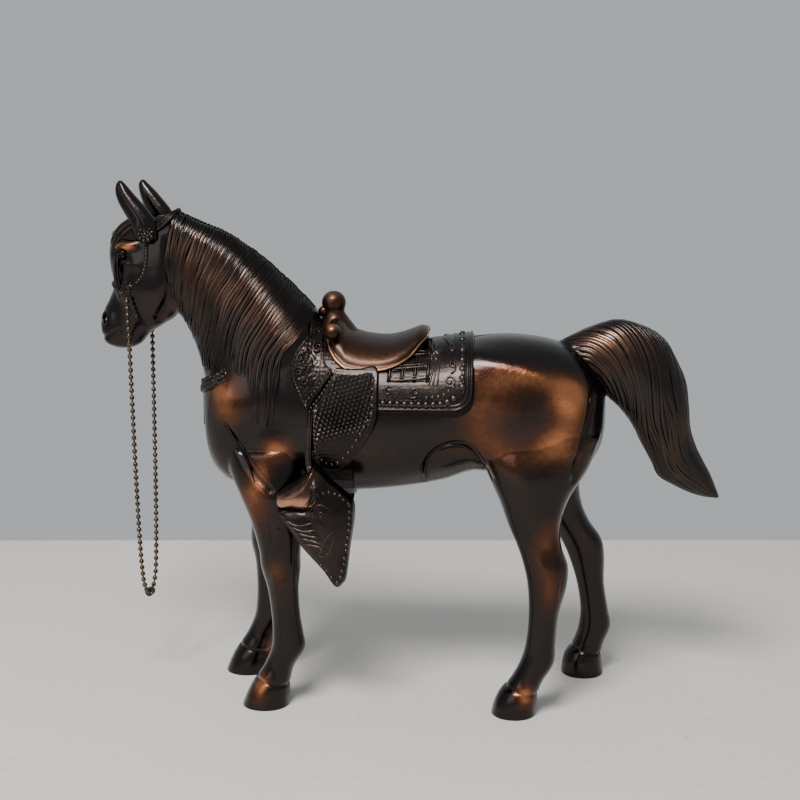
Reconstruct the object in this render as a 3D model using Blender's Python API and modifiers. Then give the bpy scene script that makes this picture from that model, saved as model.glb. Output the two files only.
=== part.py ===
"""A saddled Western horse, cast in metal halves, with tack pieces and ball-chain reins.

The horse faces -X and stands on z = 0. Its near (left) side is at -Y. Lengths in the
station tables are millimetres, and every mesh is made in metres.
"""
import math

import bmesh
import bpy
import numpy as np
from mathutils import Matrix, Vector
from mathutils.bvhtree import BVHTree

MM = 0.001
GAP = 0.3                  # clearance between touching castings
FORE_CUT_Y = 19.5          # the inner-leg inserts meet the body halves at these planes
HIND_CUT_Y = 22.0
FORE_INSERT = (-98.0, -37.0, 104.0)    # front, back and top of the fore insert
HIND_INSERT = (27.0, 101.0, 111.0)
WALL = 3.4                 # thickness of the hollow body castings
CAVITY_FLOOR = 117.0       # the hollow stops above the leg inserts
BARREL_Z = 132.0           # height of the axis that the saddle pieces are wrapped around
BLANKET = 1.5              # thickness of the saddle blanket and skirt
GIRTH = 1.2
SEAT_SHELL = 1.8
LEATHER = 1.6              # thickness of the jockeys and fenders
STRAP = 0.9                # thickness of the bridle straps
HEAD_TURN = math.radians(12.0)
TURN_PIVOT, TURN_START, TURN_END = -90.0, -78.0, -104.0    # along x
TURN_LOW, TURN_HIGH = 128.0, 158.0                          # the chest below stays straight
HEAD_REACH = 1.065         # stretch of the head and neck in front of the pivot
CENTRE_SHIFT = 0.55        # moves the finished horse so that its box is centred on x = 0
BEAD_D = 2.4               # standard number 3 ball chain
BIT = (-122.0, 12.4, 187.0)            # centre of the rein loop on each side of the bit
CHAIN_SAG = [(12.7, 184.4), (12.5, 178.0), (11.9, 165.0), (11.5, 150.0), (11.1, 133.0),
             (10.6, 114.0), (10.0, 96.0), (9.3, 80.0), (8.4, 66.0), (7.5, 57.0),
             (6.4, 50.5), (4.4, 45.8), (2.2, 43.4), (0.0, 42.8)]

# top x, top z, bottom x, bottom z, half width of each cross-section
TORSO = [(-91.6, 147, -92.0, 128, 6), (-89.5, 154, -91.3, 117, 13), (-85, 161, -88, 107, 18.5),
         (-77, 167, -80, 100, 23), (-66, 172, -67, 97.5, 26), (-52, 173.5, -52, 96.5, 27),
         (-37, 169, -36, 96.5, 28), (-20, 164.2, -20, 97.3, 30), (-2, 163, -2, 99.2, 31),
         (16, 164.5, 16, 102.5, 31), (30, 167.2, 31, 107, 30.5), (44, 168.3, 45, 103, 31),
         (56, 167.4, 57, 101, 31), (67, 165, 69, 103, 28.5), (77, 160, 79, 108, 24),
         (84.5, 151, 85.5, 117, 16), (87.6, 143, 87.8, 126, 8)]
NECK = [(-103.5, 221.5, -106, 177, 8.8), (-94, 217.6, -103, 176, 9.6),
        (-83.5, 213.4, -99.2, 170.5, 10.6), (-75, 208.2, -96, 163.5, 12),
        (-66, 201.6, -93.5, 155, 14.6), (-56, 192.6, -91.6, 146, 18.2),
        (-46, 182.6, -90, 134, 22), (-38, 171.5, -84, 122, 25)]
HEAD = [(-103, 221.8, -100, 187, 7.6), (-112, 220.2, -102.6, 178.6, 9.6),
        (-121.5, 219.6, -106.5, 174.2, 10.8), (-129.2, 215.8, -110.5, 171.6, 11.2),
        (-133.4, 208.4, -114, 169.3, 10.6), (-133.8, 199.5, -117, 167.4, 9.0),
        (-132.4, 190.5, -119.5, 164.9, 7.8), (-135.2, 182.8, -121.5, 162.4, 7.5),
        (-138.2, 176.6, -124.5, 160.4, 8.0), (-139.4, 171, -128, 159.4, 7.6),
        (-138.4, 165.4, -131.5, 159.6, 6.0), (-136, 162.2, -133.6, 160.6, 2.4)]
TAIL = [(64, 164, 78, 148, 8), (73, 168, 86.3, 145, 10), (82, 172.4, 89, 141, 11.6),
        (93, 175.2, 91.5, 138.2, 12.6), (104, 172.6, 95.5, 134.2, 13.2),
        (113.5, 166.8, 99, 129.6, 13.2), (119.5, 156.6, 102.3, 124.8, 12.8),
        (123, 148, 105, 119.6, 12), (124.7, 137, 107.6, 114.8, 11),
        (125.8, 127, 110.3, 110, 10), (128.6, 118.6, 113, 104.8, 8.6),
        (132, 112.2, 119.5, 100.8, 7), (135.6, 105.8, 127, 97.1, 5.3),
        (138.4, 99.6, 133, 95.1, 3.4), (140.6, 94.8, 138.2, 94.2, 1.4)]
NEAR_EAR = [(-119.5, 210, -108.5, 210, 3.4), (-120.6, 216, -109.6, 217.6, 4.0),
            (-123.6, 221.2, -112.4, 222, 4.0), (-126.2, 226, -116, 226.2, 3.6),
            (-127.4, 230.4, -119.6, 230.2, 2.9), (-127, 234, -122.6, 233.8, 1.9),
            (-125.6, 236, -124.4, 236, 0.8)]
OFF_EAR = [(-117.5, 210, -108.5, 210, 3.4), (-118.5, 216, -108.2, 218, 4.0),
           (-120.5, 221, -109.8, 222.4, 4.0), (-122.7, 226.5, -113.2, 226.8, 3.6),
           (-123.9, 231, -117, 231.2, 2.9), (-124, 234.4, -120, 234.4, 1.9),
           (-122.8, 236.4, -121.6, 236.4, 0.8)]
EAR_Y = 8.2
# centre x, z, half depth along x, half width along y, centre y of each leg section
FORELEG = [(-60.5, 118, 21, 12, -14.5), (-60, 108, 19, 12.5, -16), (-59, 98, 15.6, 12, -18.2),
           (-57.6, 86, 12, 10.6, -19.4), (-56.8, 73, 9.4, 9, -20), (-56.4, 65, 8.9, 8.5, -20.2),
           (-55.6, 55, 7, 6.5, -20.3), (-54.6, 43, 6.5, 6.1, -20.3), (-53.8, 34, 7, 6.7, -20.3),
           (-53.8, 27, 7.7, 7.2, -20.3), (-57.8, 19, 7, 6.8, -20.3), (-60.6, 13, 8, 8, -20.3),
           (-63.2, 5, 9.6, 9.3, -20.3), (-64.6, -2, 10.8, 10, -20.3)]
HINDLEG = [(57, 126, 28, 13, -16), (57, 112, 23, 14, -17.5), (56, 99, 15.8, 12.6, -19.5),
           (56.3, 87, 11.7, 10.6, -21), (58.8, 77, 9.8, 9, -22), (61.8, 68, 9.8, 8.2, -23),
           (62.4, 59, 8.6, 7.6, -23.6), (61.1, 46, 6.6, 6.2, -24.2), (60.1, 33, 6.6, 6.4, -24.6),
           (58.6, 24, 7.6, 7.1, -24.8), (54.2, 16, 7.4, 7.1, -24.8), (51.2, 11, 8.4, 8.2, -24.8),
           (49.2, 5, 9.3, 9.2, -24.8), (48.2, -2, 10, 9.9, -24.8)]
OFF_FORE_STEP = [(118, 0), (98, -3.5), (86, -7), (70, -10.8), (25, -14.5), (-2, -14.8)]
OFF_HIND_STEP = [(126, 0), (112, 2.5), (98, 8), (87, 12.5), (68, 19), (46, 25), (33, 28.2),
                 (16, 32), (-2, 35.2)]
# side-view outlines of the saddle panels, x and z
JOCKEY = [(-36.0, 171.3), (-39.7, 171), (-44, 167.4), (-48, 162), (-49.8, 155.8),
          (-48.8, 149.8), (-45.8, 143.4), (-42.4, 138.2), (-38.6, 143.4), (-34.4, 149.2),
          (-31.4, 153.6), (-34.6, 157.6), (-36.4, 164)]
FENDER = [(-29.6, 152.0), (-21, 151.2), (-12.3, 152.4), (-12.0, 146), (-12.1, 136),
          (-15, 130), (-22, 121), (-28, 114.6), (-31.6, 112.4), (-35.6, 113.6),
          (-40.6, 117.8), (-41.8, 126), (-41.6, 136.6), (-36, 144.6)]
# x, top z, edge z and edge half width of the seat shell from the fork back to the cantle
SEAT = [(-35.0, 174.4, 165.6, 15), (-33.6, 175.8, 162.6, 19.4), (-31.4, 175.9, 159.6, 22.6),
        (-28.4, 174.0, 156.9, 24.6), (-25.6, 170.9, 155.6, 25.8), (-20, 168.8, 154.8, 26.4),
        (-14, 167.8, 155.4, 26.2), (-8.4, 167.7, 156.3, 25.6), (-3, 168.8, 158.4, 24),
        (1.6, 170.4, 161.8, 21), (5.6, 171.8, 166.2, 16.5), (8.8, 171.4, 168.8, 11)]


HOOD = [(-38.6, 103.8), (-33, 104.6), (-27.6, 104.4), (-22.2, 100.4), (-22, 92), (-23.8, 80),
        (-25.6, 66), (-27.2, 62), (-30.6, 60.8), (-36, 68.4), (-45.4, 79.4), (-53.6, 92.4),
        (-51, 95.6), (-45, 96.2), (-40.6, 99.4)]      # tapadero, in side view
BOWL = [(-41.6, 106), (-51, 105.4), (-55.4, 101.4), (-55.2, 97.6), (-50.6, 96.9),
        (-45.4, 97.2), (-41.6, 100.4)]                # stirrup bowl, in side view
HANGER = [(-44.8, 136), (-42.8, 137), (-42.8, 119), (-41.4, 116.4), (-37.0, 111.6),
          (-38.2, 107), (-39.8, 105.6), (-43.0, 107.6), (-44.8, 115)]   # stirrup leather
OFF_STIRRUP_STEP = -5.0       # the off stirrup hangs this much further forward


def new_material(name, colour, roughness, metallic=1.0):
    material = bpy.data.materials.new(name)
    material.use_nodes = True
    shader = material.node_tree.nodes["Principled BSDF"]
    shader.inputs["Base Color"].default_value = (*colour, 1.0)
    shader.inputs["Roughness"].default_value = roughness
    shader.inputs["Metallic"].default_value = metallic
    return material


def start_scene():
    for obj in list(bpy.data.objects):
        bpy.data.objects.remove(obj, do_unlink=True)
    groups = {}
    for name in ("saddled_horse", "guides"):
        groups[name] = bpy.data.collections.new(name)
        bpy.context.scene.collection.children.link(groups[name])
    return groups


def mesh_object(name, points, faces, group):
    """An object from points in millimetres, with its faces turned outwards."""
    mesh = bpy.data.meshes.new(name)
    mesh.from_pydata([tuple(p) for p in np.asarray(points) * MM], [], faces)
    work = bmesh.new()
    work.from_mesh(mesh)
    bmesh.ops.recalc_face_normals(work, faces=work.faces[:])
    work.to_mesh(mesh)
    work.free()
    obj = bpy.data.objects.new(name, mesh)
    group.objects.link(obj)
    return obj


def smooth_rows(rows, steps):
    """Rows between the given ones on a Catmull-Rom curve, steps to each span."""
    rows = np.asarray(rows, float)
    padded = np.vstack([2 * rows[0] - rows[1], rows, 2 * rows[-1] - rows[-2]])
    out = []
    for i in range(1, len(padded) - 2):
        a, b, c, d = padded[i - 1:i + 3]
        for t in np.arange(steps) / steps:
            out.append(0.5 * (2 * b + (c - a) * t + (2 * a - 5 * b + 4 * c - d) * t ** 2
                              + (3 * b - a - 3 * c + d) * t ** 3))
    out.append(rows[-1])
    return np.array(out)


def ring_faces(rings, around):
    """Quads between closed rings, with a fan on the first and last ring."""
    faces = [(r * around + i, r * around + (i + 1) % around,
              (r + 1) * around + (i + 1) % around, (r + 1) * around + i)
             for r in range(rings - 1) for i in range(around)]
    first, last = rings * around, rings * around + 1
    faces += [(first, (i + 1) % around, i) for i in range(around)]
    faces += [(last, (rings - 1) * around + i, (rings - 1) * around + (i + 1) % around)
              for i in range(around)]
    return faces


def loft(name, stations, group, y=0.0, around=28, power=2.3, steps=3, inset=0.0):
    """A closed skin through superellipse sections given by their top and bottom points."""
    rows = smooth_rows(stations, steps)
    top = np.stack([rows[:, 0], rows[:, 1]], 1)
    bottom = np.stack([rows[:, 2], rows[:, 3]], 1)
    centre, half = (top + bottom) / 2, (top - bottom) / 2
    high = np.maximum(np.linalg.norm(half, axis=1), 0.01)
    half *= (np.maximum(high - inset, 0.2) / high)[:, None]
    wide = np.maximum(rows[:, 4] - inset, 0.2)
    turn = np.arange(around) * 2 * math.pi / around
    up = np.sign(np.cos(turn)) * np.abs(np.cos(turn)) ** (2 / power)
    side = np.sign(np.sin(turn)) * np.abs(np.sin(turn)) ** (2 / power)
    mid_y = rows[:, 5] if rows.shape[1] > 5 else np.full(len(rows), y)
    x = centre[:, :1] + half[:, :1] * up
    z = centre[:, 1:] + half[:, 1:] * up
    across = mid_y[:, None] + wide[:, None] * side
    points = np.stack([x, across, z], 2).reshape(-1, 3)
    ends = [(centre[k, 0], mid_y[k], centre[k, 1]) for k in (0, -1)]
    return mesh_object(name, np.vstack([points, ends]), ring_faces(len(rows), around), group)


def leg(name, stations, group, side, step=None):
    """A leg through level sections; step moves it along x by height."""
    rows = []
    for x, z, depth, width, y in stations:
        if step:
            heights = [s[0] for s in step][::-1]
            x += float(np.interp(z, heights, [s[1] for s in step][::-1]))
        rows.append((x - depth, z, x + depth, z, width, -y * side))
    return loft(name, rows, group, power=2.1, around=20)


def evaluated_copy(obj, name, group):
    """A plain mesh object of obj with its modifiers applied."""
    graph = bpy.context.evaluated_depsgraph_get()
    mesh = bpy.data.meshes.new_from_object(obj.evaluated_get(graph), depsgraph=graph)
    copy = bpy.data.objects.new(name, mesh)
    copy.matrix_world = obj.matrix_world
    group.objects.link(copy)
    return copy


def fuse(objects, name, group, voxel, triangles):
    """One skin around overlapping closed lofts, thinned to about that many triangles."""
    work = bmesh.new()
    for obj in objects:
        work.from_mesh(obj.data)
        bpy.data.objects.remove(obj, do_unlink=True)
    mesh = bpy.data.meshes.new(name)
    work.to_mesh(mesh)
    work.free()
    whole = bpy.data.objects.new(name, mesh)
    group.objects.link(whole)
    remesh = whole.modifiers.new("skin", "REMESH")
    remesh.mode = "VOXEL"
    remesh.voxel_size = voxel * MM
    soften = whole.modifiers.new("soften", "SMOOTH")
    soften.factor, soften.iterations = 0.5, 4
    bpy.context.view_layer.update()
    dense = evaluated_copy(whole, name, group)
    bpy.data.objects.remove(whole, do_unlink=True)
    dense.data.calc_loop_triangles()
    thin = dense.modifiers.new("thin", "DECIMATE")
    thin.ratio = min(1.0, triangles / len(dense.data.loop_triangles))
    bpy.context.view_layer.update()
    done = evaluated_copy(dense, name, group)
    bpy.data.objects.remove(dense, do_unlink=True)
    return done


def box_object(name, low, high, group):
    work = bmesh.new()
    bmesh.ops.create_cube(work, size=1.0)
    low, high = Vector(low) * MM, Vector(high) * MM
    for vert in work.verts:
        vert.co = Vector([low[k] if vert.co[k] < 0 else high[k] for k in range(3)])
    mesh = bpy.data.meshes.new(name)
    work.to_mesh(mesh)
    work.free()
    obj = bpy.data.objects.new(name, mesh)
    group.objects.link(obj)
    return obj


def combine(obj, cutter, operation):
    modifier = obj.modifiers.new(operation.lower(), "BOOLEAN")
    modifier.solver, modifier.operation, modifier.object = "EXACT", operation, cutter


def settle(obj, name, group):
    """Applies the modifiers and keeps only the largest connected body."""
    bpy.context.view_layer.update()
    done = evaluated_copy(obj, name, group)
    bpy.data.objects.remove(obj, do_unlink=True)
    work = bmesh.new()
    work.from_mesh(done.data)
    bmesh.ops.remove_doubles(work, verts=work.verts[:], dist=0.00002)
    left, bodies = set(work.verts), []
    while left:
        todo, body = [left.pop()], set()
        while todo:
            vert = todo.pop()
            body.add(vert)
            for edge in vert.link_edges:
                other = edge.other_vert(vert)
                if other in left:
                    left.discard(other)
                    todo.append(other)
        bodies.append(body)
    bodies.sort(key=len)
    for body in bodies[:-1]:
        bmesh.ops.delete(work, geom=list(body), context="VERTS")
    work.to_mesh(done.data)
    work.free()
    return done


def eased(share):
    """A share of 0 to 1 with soft ends."""
    share = np.clip(share, 0, 1)
    return share ** 2 * (3 - 2 * share)


def turned(points):
    """Points of the straight horse with the neck bent and the head turned to the off side."""
    points = np.array(points, float)
    ahead = points[:, 0] < TURN_PIVOT
    share = eased((TURN_START - points[:, 0]) / (TURN_START - TURN_END))
    share = share * eased((points[:, 2] - TURN_LOW) / (TURN_HIGH - TURN_LOW))
    angle = HEAD_TURN * share
    along = points[:, 0] - TURN_PIVOT
    along = np.where(ahead, along * (1 + (HEAD_REACH - 1) * share), along)
    x = TURN_PIVOT + along * np.cos(angle) + points[:, 1] * np.sin(angle)
    y = -along * np.sin(angle) + points[:, 1] * np.cos(angle)
    return np.stack([x, y, points[:, 2]], 1)


def turn_object(obj):
    count = len(obj.data.vertices)
    flat = np.zeros(count * 3)
    obj.data.vertices.foreach_get("co", flat)
    moved = turned(flat.reshape(-1, 3) / MM) * MM
    obj.data.vertices.foreach_set("co", moved.ravel())
    obj.data.update()


def surface_tree(*objects):
    """A tree in millimetres for finding places on the objects' skins."""
    points, faces = [], []
    for obj in objects:
        first = len(points)
        points += [v.co / MM for v in obj.data.vertices]
        faces += [[first + i for i in p.vertices] for p in obj.data.polygons]
    return BVHTree.FromPolygons(points, faces)


def make_horse(groups):
    """The whole horse's outer skin, straight and in one piece, and its hollow."""
    guides = groups["guides"]
    shells = [loft("torso", TORSO, guides, around=36), loft("neck", NECK, guides),
              loft("head", HEAD, guides, around=24, power=2.2),
              loft("tail", TAIL, guides, power=2.0)]
    for side in (-1, 1):
        shells.append(loft("ear", NEAR_EAR if side < 0 else OFF_EAR, guides, y=side * EAR_Y,
                           around=12, power=2.0))
        shells.append(leg("foreleg", FORELEG, guides, side, OFF_FORE_STEP if side > 0 else None))
        shells.append(leg("hindleg", HINDLEG, guides, side, OFF_HIND_STEP if side > 0 else None))
    horse = fuse(shells, "horse_skin", guides, voxel=1.3, triangles=4800)
    hollow = fuse([loft("barrel", TORSO[2:-2], guides, inset=WALL),
                   loft("crest", NECK[1:], guides, inset=WALL)],
                  "hollow", guides, voxel=2.4, triangles=700)
    return horse, hollow


def side_cutter(side, guides):
    """Everything above the floor on one side of the bent middle of the horse."""
    xs = np.concatenate([[-170], np.arange(-150, -66, 4.0), [-40, 0, 60, 160]])
    zs = np.concatenate([[0, 60, 110], np.arange(125, 166, 5.0), [200, 260]])
    across, up = np.meshgrid(xs, zs, indexing="ij")
    grids = [np.stack([across, np.full_like(across, side * y), up], 2) for y in (GAP / 2, 60.0)]
    cutter = sheet_solid("side", grids[0], grids[1], guides)
    turn_object(cutter)
    return cutter


def cut_horse(groups, horse, hollow, finishes):
    """The two body castings and the two inserts that hold the inner halves of the legs."""
    parts, guides = groups["saddled_horse"], groups["guides"]
    far = 400.0
    combine(hollow, box_object("above_floor", (-far, -far, CAVITY_FLOOR), (far, far, far), guides),
            "INTERSECT")
    boxes = {}
    for name, (front, back, top), half in (("fore", FORE_INSERT, FORE_CUT_Y),
                                           ("hind", HIND_INSERT, HIND_CUT_Y)):
        boxes[name] = (box_object(name, (front, -half, 0), (back, half, top), guides),
                       box_object(name + "_room", (front - GAP, -half - GAP, -far),
                                  (back + GAP, half + GAP, top + GAP), guides))
    made = []
    for name, side in (("body_near_half", -1), ("body_off_half", 1)):
        half = evaluated_copy(horse, "half", guides)
        combine(half, side_cutter(side, guides), "INTERSECT")
        for _, room in boxes.values():
            combine(half, room, "DIFFERENCE")
        combine(half, hollow, "DIFFERENCE")
        made.append(settle(half, name, parts))
    for key, name in (("fore", "fore_leg_insert"), ("hind", "hind_leg_insert")):
        insert = evaluated_copy(horse, "insert", guides)
        combine(insert, boxes[key][0], "INTERSECT")
        made.append(settle(insert, name, parts))
    for obj in made:
        obj.data.materials.append(finishes["bronze"])
    return made


def side_y(tree, x, z):
    """The half width of the horse at a point of the side view."""
    hit = tree.ray_cast(Vector((x, -120.0, z)), Vector((0, 1, 0)))[0]
    return -hit.y if hit is not None else 0.0


def panel(name, outline, tree, group, side, thickness, rings=4, per_span=2):
    """A plate with that side-view outline, lying on the horse's side with a gap below it."""
    loop = smooth_rows(outline + outline[:1], per_span)[:-1]
    centre = loop.mean(0)
    around = len(loop)
    rows = [centre + (loop - centre) * r for r in np.linspace(0.28, 1, rings)]
    inner, outer = [], []
    for x, z in np.vstack(rows + [centre[None]]):
        angle = math.atan2(z - BARREL_Z, side_y(tree, x, z))
        start, way, radius = highest_skin(tree, x, angle)
        for grid, height in ((inner, 2 * GAP), (outer, 2 * GAP + thickness)):
            spot = start + way * (radius + height)
            grid.append((x, -side * spot.y, spot.z))
    count = len(inner)
    faces = []
    for base in (0, count):
        faces += [(base + r * around + i, base + r * around + (i + 1) % around,
                   base + (r + 1) * around + (i + 1) % around, base + (r + 1) * around + i)
                  for r in range(rings - 1) for i in range(around)]
        faces += [(base + count - 1, base + i, base + (i + 1) % around) for i in range(around)]
    rim = (rings - 1) * around
    faces += [(rim + i, rim + (i + 1) % around, count + rim + (i + 1) % around,
               count + rim + i) for i in range(around)]
    return mesh_object(name, inner + outer, faces, group)


def sheet_solid(name, under, over, group):
    """A closed solid between two grids of points, rows by columns."""
    rows, columns, _ = under.shape
    count = rows * columns
    points = np.vstack([under.reshape(-1, 3), over.reshape(-1, 3)])

    def at(r, c, layer):
        return layer * count + r * columns + c

    faces = [(at(r, c, k), at(r, c + 1, k), at(r + 1, c + 1, k), at(r + 1, c, k))
             for k in (0, 1) for r in range(rows - 1) for c in range(columns - 1)]
    faces += [(at(r, c, 0), at(r + 1, c, 0), at(r + 1, c, 1), at(r, c, 1))
              for c in (0, columns - 1) for r in range(rows - 1)]
    faces += [(at(r, c, 0), at(r, c + 1, 0), at(r, c + 1, 1), at(r, c, 1))
              for r in (0, rows - 1) for c in range(columns - 1)]
    return mesh_object(name, points, faces, group)


def around_barrel(tree, x, angle):
    """The barrel's axis, the way out from it and how far the skin is; angle 0 is the near side."""
    way = Vector((0, -math.cos(angle), math.sin(angle)))
    start = Vector((x, 0, BARREL_Z))
    hit = tree.ray_cast(start + way * 120, -way)[0]
    return start, way, (hit - start).length


def highest_skin(tree, x, angle):
    """The same, with the highest skin close by, so that a plate bridges the hollows."""
    start, way, _ = around_barrel(tree, x, angle)
    return start, way, max(around_barrel(tree, x + dx, angle + turn)[2]
                           for dx in (-2.2, 0, 2.2) for turn in (-0.1, -0.05, 0, 0.05, 0.1))


def barrel_wrap(name, tree, group, xs, angles, thickness):
    """A sheet around the barrel from one angle to another, as a blanket or a girth."""
    under, over = [], []
    for x in xs:
        found = [highest_skin(tree, x, angle) for angle in angles]
        under.append([start + way * (radius + GAP) for start, way, radius in found])
        over.append([start + way * (radius + GAP + thickness) for start, way, radius in found])
    return sheet_solid(name, np.array(under), np.array(over), group)


def strap(name, tree, group, route, width, gap=GAP, thickness=STRAP, per_span=3, across=3):
    """A flat strap that follows the skin through the route's points."""
    line = smooth_rows(route, per_span)
    along = np.gradient(line, axis=0)
    along /= np.linalg.norm(along, axis=1)[:, None]
    under, over = [], []
    for point, way in zip(line, along):
        near, normal = tree.find_nearest(Vector(point))[:2]
        sideways = np.cross(np.array(normal), way)
        sideways /= np.linalg.norm(sideways)
        low, high = [], []
        for share in np.linspace(-0.5, 0.5, across):
            spot, out = tree.find_nearest(near + Vector(sideways * width * share))[:2]
            low.append(spot + out * gap)
            high.append(spot + out * (gap + thickness))
        under.append(low)
        over.append(high)
    return sheet_solid(name, np.array(under), np.array(over), group)


def seat_shell(name, group, tree):
    """The seat: an arch at each station, held clear of the blanket under it."""
    under, over = [], []
    for x, top, edge, half in SEAT:
        low, high = [], []
        for turn in np.linspace(-math.pi / 2, math.pi / 2, 15):
            y, z = half * math.sin(turn), top - (top - edge) * (1 - math.cos(turn))
            angle = math.atan2(z - BARREL_Z, -y)
            start, way, radius = highest_skin(tree, x, angle)
            outer = max(math.hypot(y, z - BARREL_Z), radius + GAP + SEAT_SHELL)
            low.append(start + way * (outer - SEAT_SHELL))
            high.append(start + way * outer)
        under.append(low)
        over.append(high)
    return sheet_solid(name, np.array(under), np.array(over), group)


def make_saddle(groups, horse, tree, finishes):
    parts = groups["saddled_horse"]
    made = {}
    reach = math.radians(83)
    made["saddle_blanket"] = barrel_wrap(
        "saddle_blanket", tree, parts, np.linspace(-43, 29, 11),
        np.linspace(math.pi / 2 - reach, math.pi / 2 + reach, 17), BLANKET)
    made["girth"] = barrel_wrap("girth", tree, parts, np.linspace(-36, -23.5, 4),
                                np.linspace(math.radians(-25), math.radians(-155), 13), GIRTH)
    padded_tree = surface_tree(horse, made["saddle_blanket"], made["girth"])
    for side, word in ((-1, "near"), (1, "off")):
        for piece, outline in (("jockey", JOCKEY), ("fender", FENDER)):
            name = f"{word}_{piece}"
            made[name] = panel(name, outline, padded_tree, parts, side, LEATHER)
    made["saddle_seat"] = seat_shell("saddle_seat", parts, padded_tree)
    made["saddle_horn"] = turned_knob("saddle_horn", parts, (-33.3, 0, 176.4),
                                      [(0, 0), (3.6, 0), (3.4, 0.9), (3.9, 2.0), (5.0, 3.6),
                                       (5.3, 5.6), (4.9, 7.6), (3.6, 9.4), (1.8, 10.4), (0, 10.7)])
    for side, word in ((-1, "near"), (1, "off")):
        made[word + "_swell_knob"] = ball(word + "_swell_knob", parts,
                                          (-32.4, side * 21.3, 171.8), 3.3)
    for name, obj in made.items():
        obj.data.materials.append(finishes["seat" if name == "saddle_seat" else "tooled"])
    return made


def turned_knob(name, group, base, profile):
    """A turned piece standing on base, from its profile of radius and height."""
    radii = smooth_rows(profile[1:-1], 2)
    around = 18
    turn = np.arange(around) * 2 * math.pi / around
    rings = [np.stack([base[0] + r * np.cos(turn), base[1] + r * np.sin(turn),
                       np.full(around, base[2] + h)], 1) for r, h in radii]
    ends = [(base[0], base[1], base[2] + profile[k][1]) for k in (0, -1)]
    return mesh_object(name, np.vstack(rings + [ends]), ring_faces(len(rings), around), group)


def ball(name, group, centre, radius, segments=14, rings=9):
    work = bmesh.new()
    bmesh.ops.create_uvsphere(work, u_segments=segments, v_segments=rings, radius=radius * MM)
    bmesh.ops.translate(work, verts=work.verts[:], vec=Vector(centre) * MM)
    mesh = bpy.data.meshes.new(name)
    work.to_mesh(mesh)
    work.free()
    obj = bpy.data.objects.new(name, mesh)
    group.objects.link(obj)
    return obj


def stud(name, group, tree, x, z, side, radius, height, lift):
    """A round domed disc lying on the horse's side."""
    start = Vector((x, side * 120.0, z))
    hit, normal, *_ = tree.ray_cast(start, Vector((0, -side, 0)))
    out = np.array(normal)
    first = np.cross(out, (0, 0, 1.0))
    first /= np.linalg.norm(first)
    second = np.cross(out, first)
    around = 14
    turn = np.arange(around) * 2 * math.pi / around
    rings = []
    for r, h in ((1.0, 0.0), (1.0, 0.45), (0.8, 0.8), (0.45, 0.96)):
        rings.append(np.array(hit) + out * (lift + height * h)
                     + radius * r * (np.cos(turn)[:, None] * first + np.sin(turn)[:, None] * second))
    ends = [np.array(hit) + out * lift, np.array(hit) + out * (lift + height)]
    return mesh_object(name, np.vstack(rings + [ends]), ring_faces(len(rings), around), group)


def make_bridle(groups, tree, finishes):
    parts = groups["saddled_horse"]
    made = [strap("crown_strap", tree, parts,
                  [(-111.6, -12, 214.6), (-107.4, -10.4, 218), (-104.6, -6, 221), (-103, 0, 222.4),
                   (-104.6, 6, 221), (-107.4, 10.4, 218), (-111.6, 12, 214.6)], 2.4),
            strap("browband", tree, parts,
                  [(-117.4, -12, 210.6), (-123, -11.5, 211.4), (-129.5, -7.5, 212), (-132.5, 0, 212.2),
                   (-129.5, 7.5, 212), (-123, 11.5, 211.4), (-117.4, 12, 210.6)], 2.0),
            strap("noseband", tree, parts,
                  [(-126.5, -10, 184), (-131, -8, 187.5), (-134.5, -4, 189), (-135.3, 0, 189.4),
                   (-134.5, 4, 189), (-131, 8, 187.5), (-126.5, 10, 184)], 2.0)]
    for side, word in ((-1, "near"), (1, "off")):
        made.append(strap(word + "_cheek_strap", tree, parts,
                          [(-113.4, side * 12, 207.2), (-113.8, side * 12, 200),
                           (-115.3, side * 12, 194), (-118.2, side * 11, 190.4)], 2.2))
        made.append(stud(word + "_rosette", parts, tree, -113.2, 211.5, side, 3.4, 1.8,
                         2 * GAP + STRAP))
        made.append(stud(word + "_bit_boss", parts, tree, -122.0, 187.4, side, 2.6, 0.8, GAP))
    for obj in made:
        turn_object(obj)
        obj.data.materials.append(finishes["tooled"])
    return made


def make_collar(groups, tree, finishes):
    """The tooled band round the chest and the ornament that hangs from its middle."""
    parts = groups["saddled_horse"]
    route = []
    for degrees in (-82, -66, -50, -34, -17, 0, 17, 34, 50, 66, 82):
        bend = math.radians(degrees)
        height = 144.0 + 13.0 * abs(degrees / 82) ** 1.6
        route.append((-70 - 24 * math.cos(bend), 26 * math.sin(bend), height))
    collar = strap("breast_collar", tree, parts, route, 5.0, thickness=1.3, across=4)
    drop = strap("breast_ornament", tree, parts,
                 [(-92, 0, 139.9), (-93, 0, 135), (-93, 0, 130), (-92.6, 0, 126)], 4.2,
                 thickness=1.4)
    for obj in (collar, drop):
        turn_object(obj)
        obj.data.materials.append(finishes["tooled"])


def lens_solid(name, group, outline, side, inner_y, bulge, centre):
    """A closed casting with a flat back and a domed front, from its side-view outline."""
    loop = smooth_rows(outline + outline[:1], 2)[:-1]
    centre = np.array(centre, float)
    around = len(loop)
    points = [(x, side * inner_y, z) for x, z in loop]
    for share, rise in ((1.0, 0.25), (0.82, 0.62), (0.55, 0.9)):
        points += [(x, side * (inner_y + bulge * rise), z)
                   for x, z in centre + (loop - centre) * share]
    points += [(centre[0], side * inner_y, centre[1]),
               (centre[0], side * (inner_y + bulge), centre[1])]
    return mesh_object(name, points, ring_faces(4, around), group)


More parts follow.
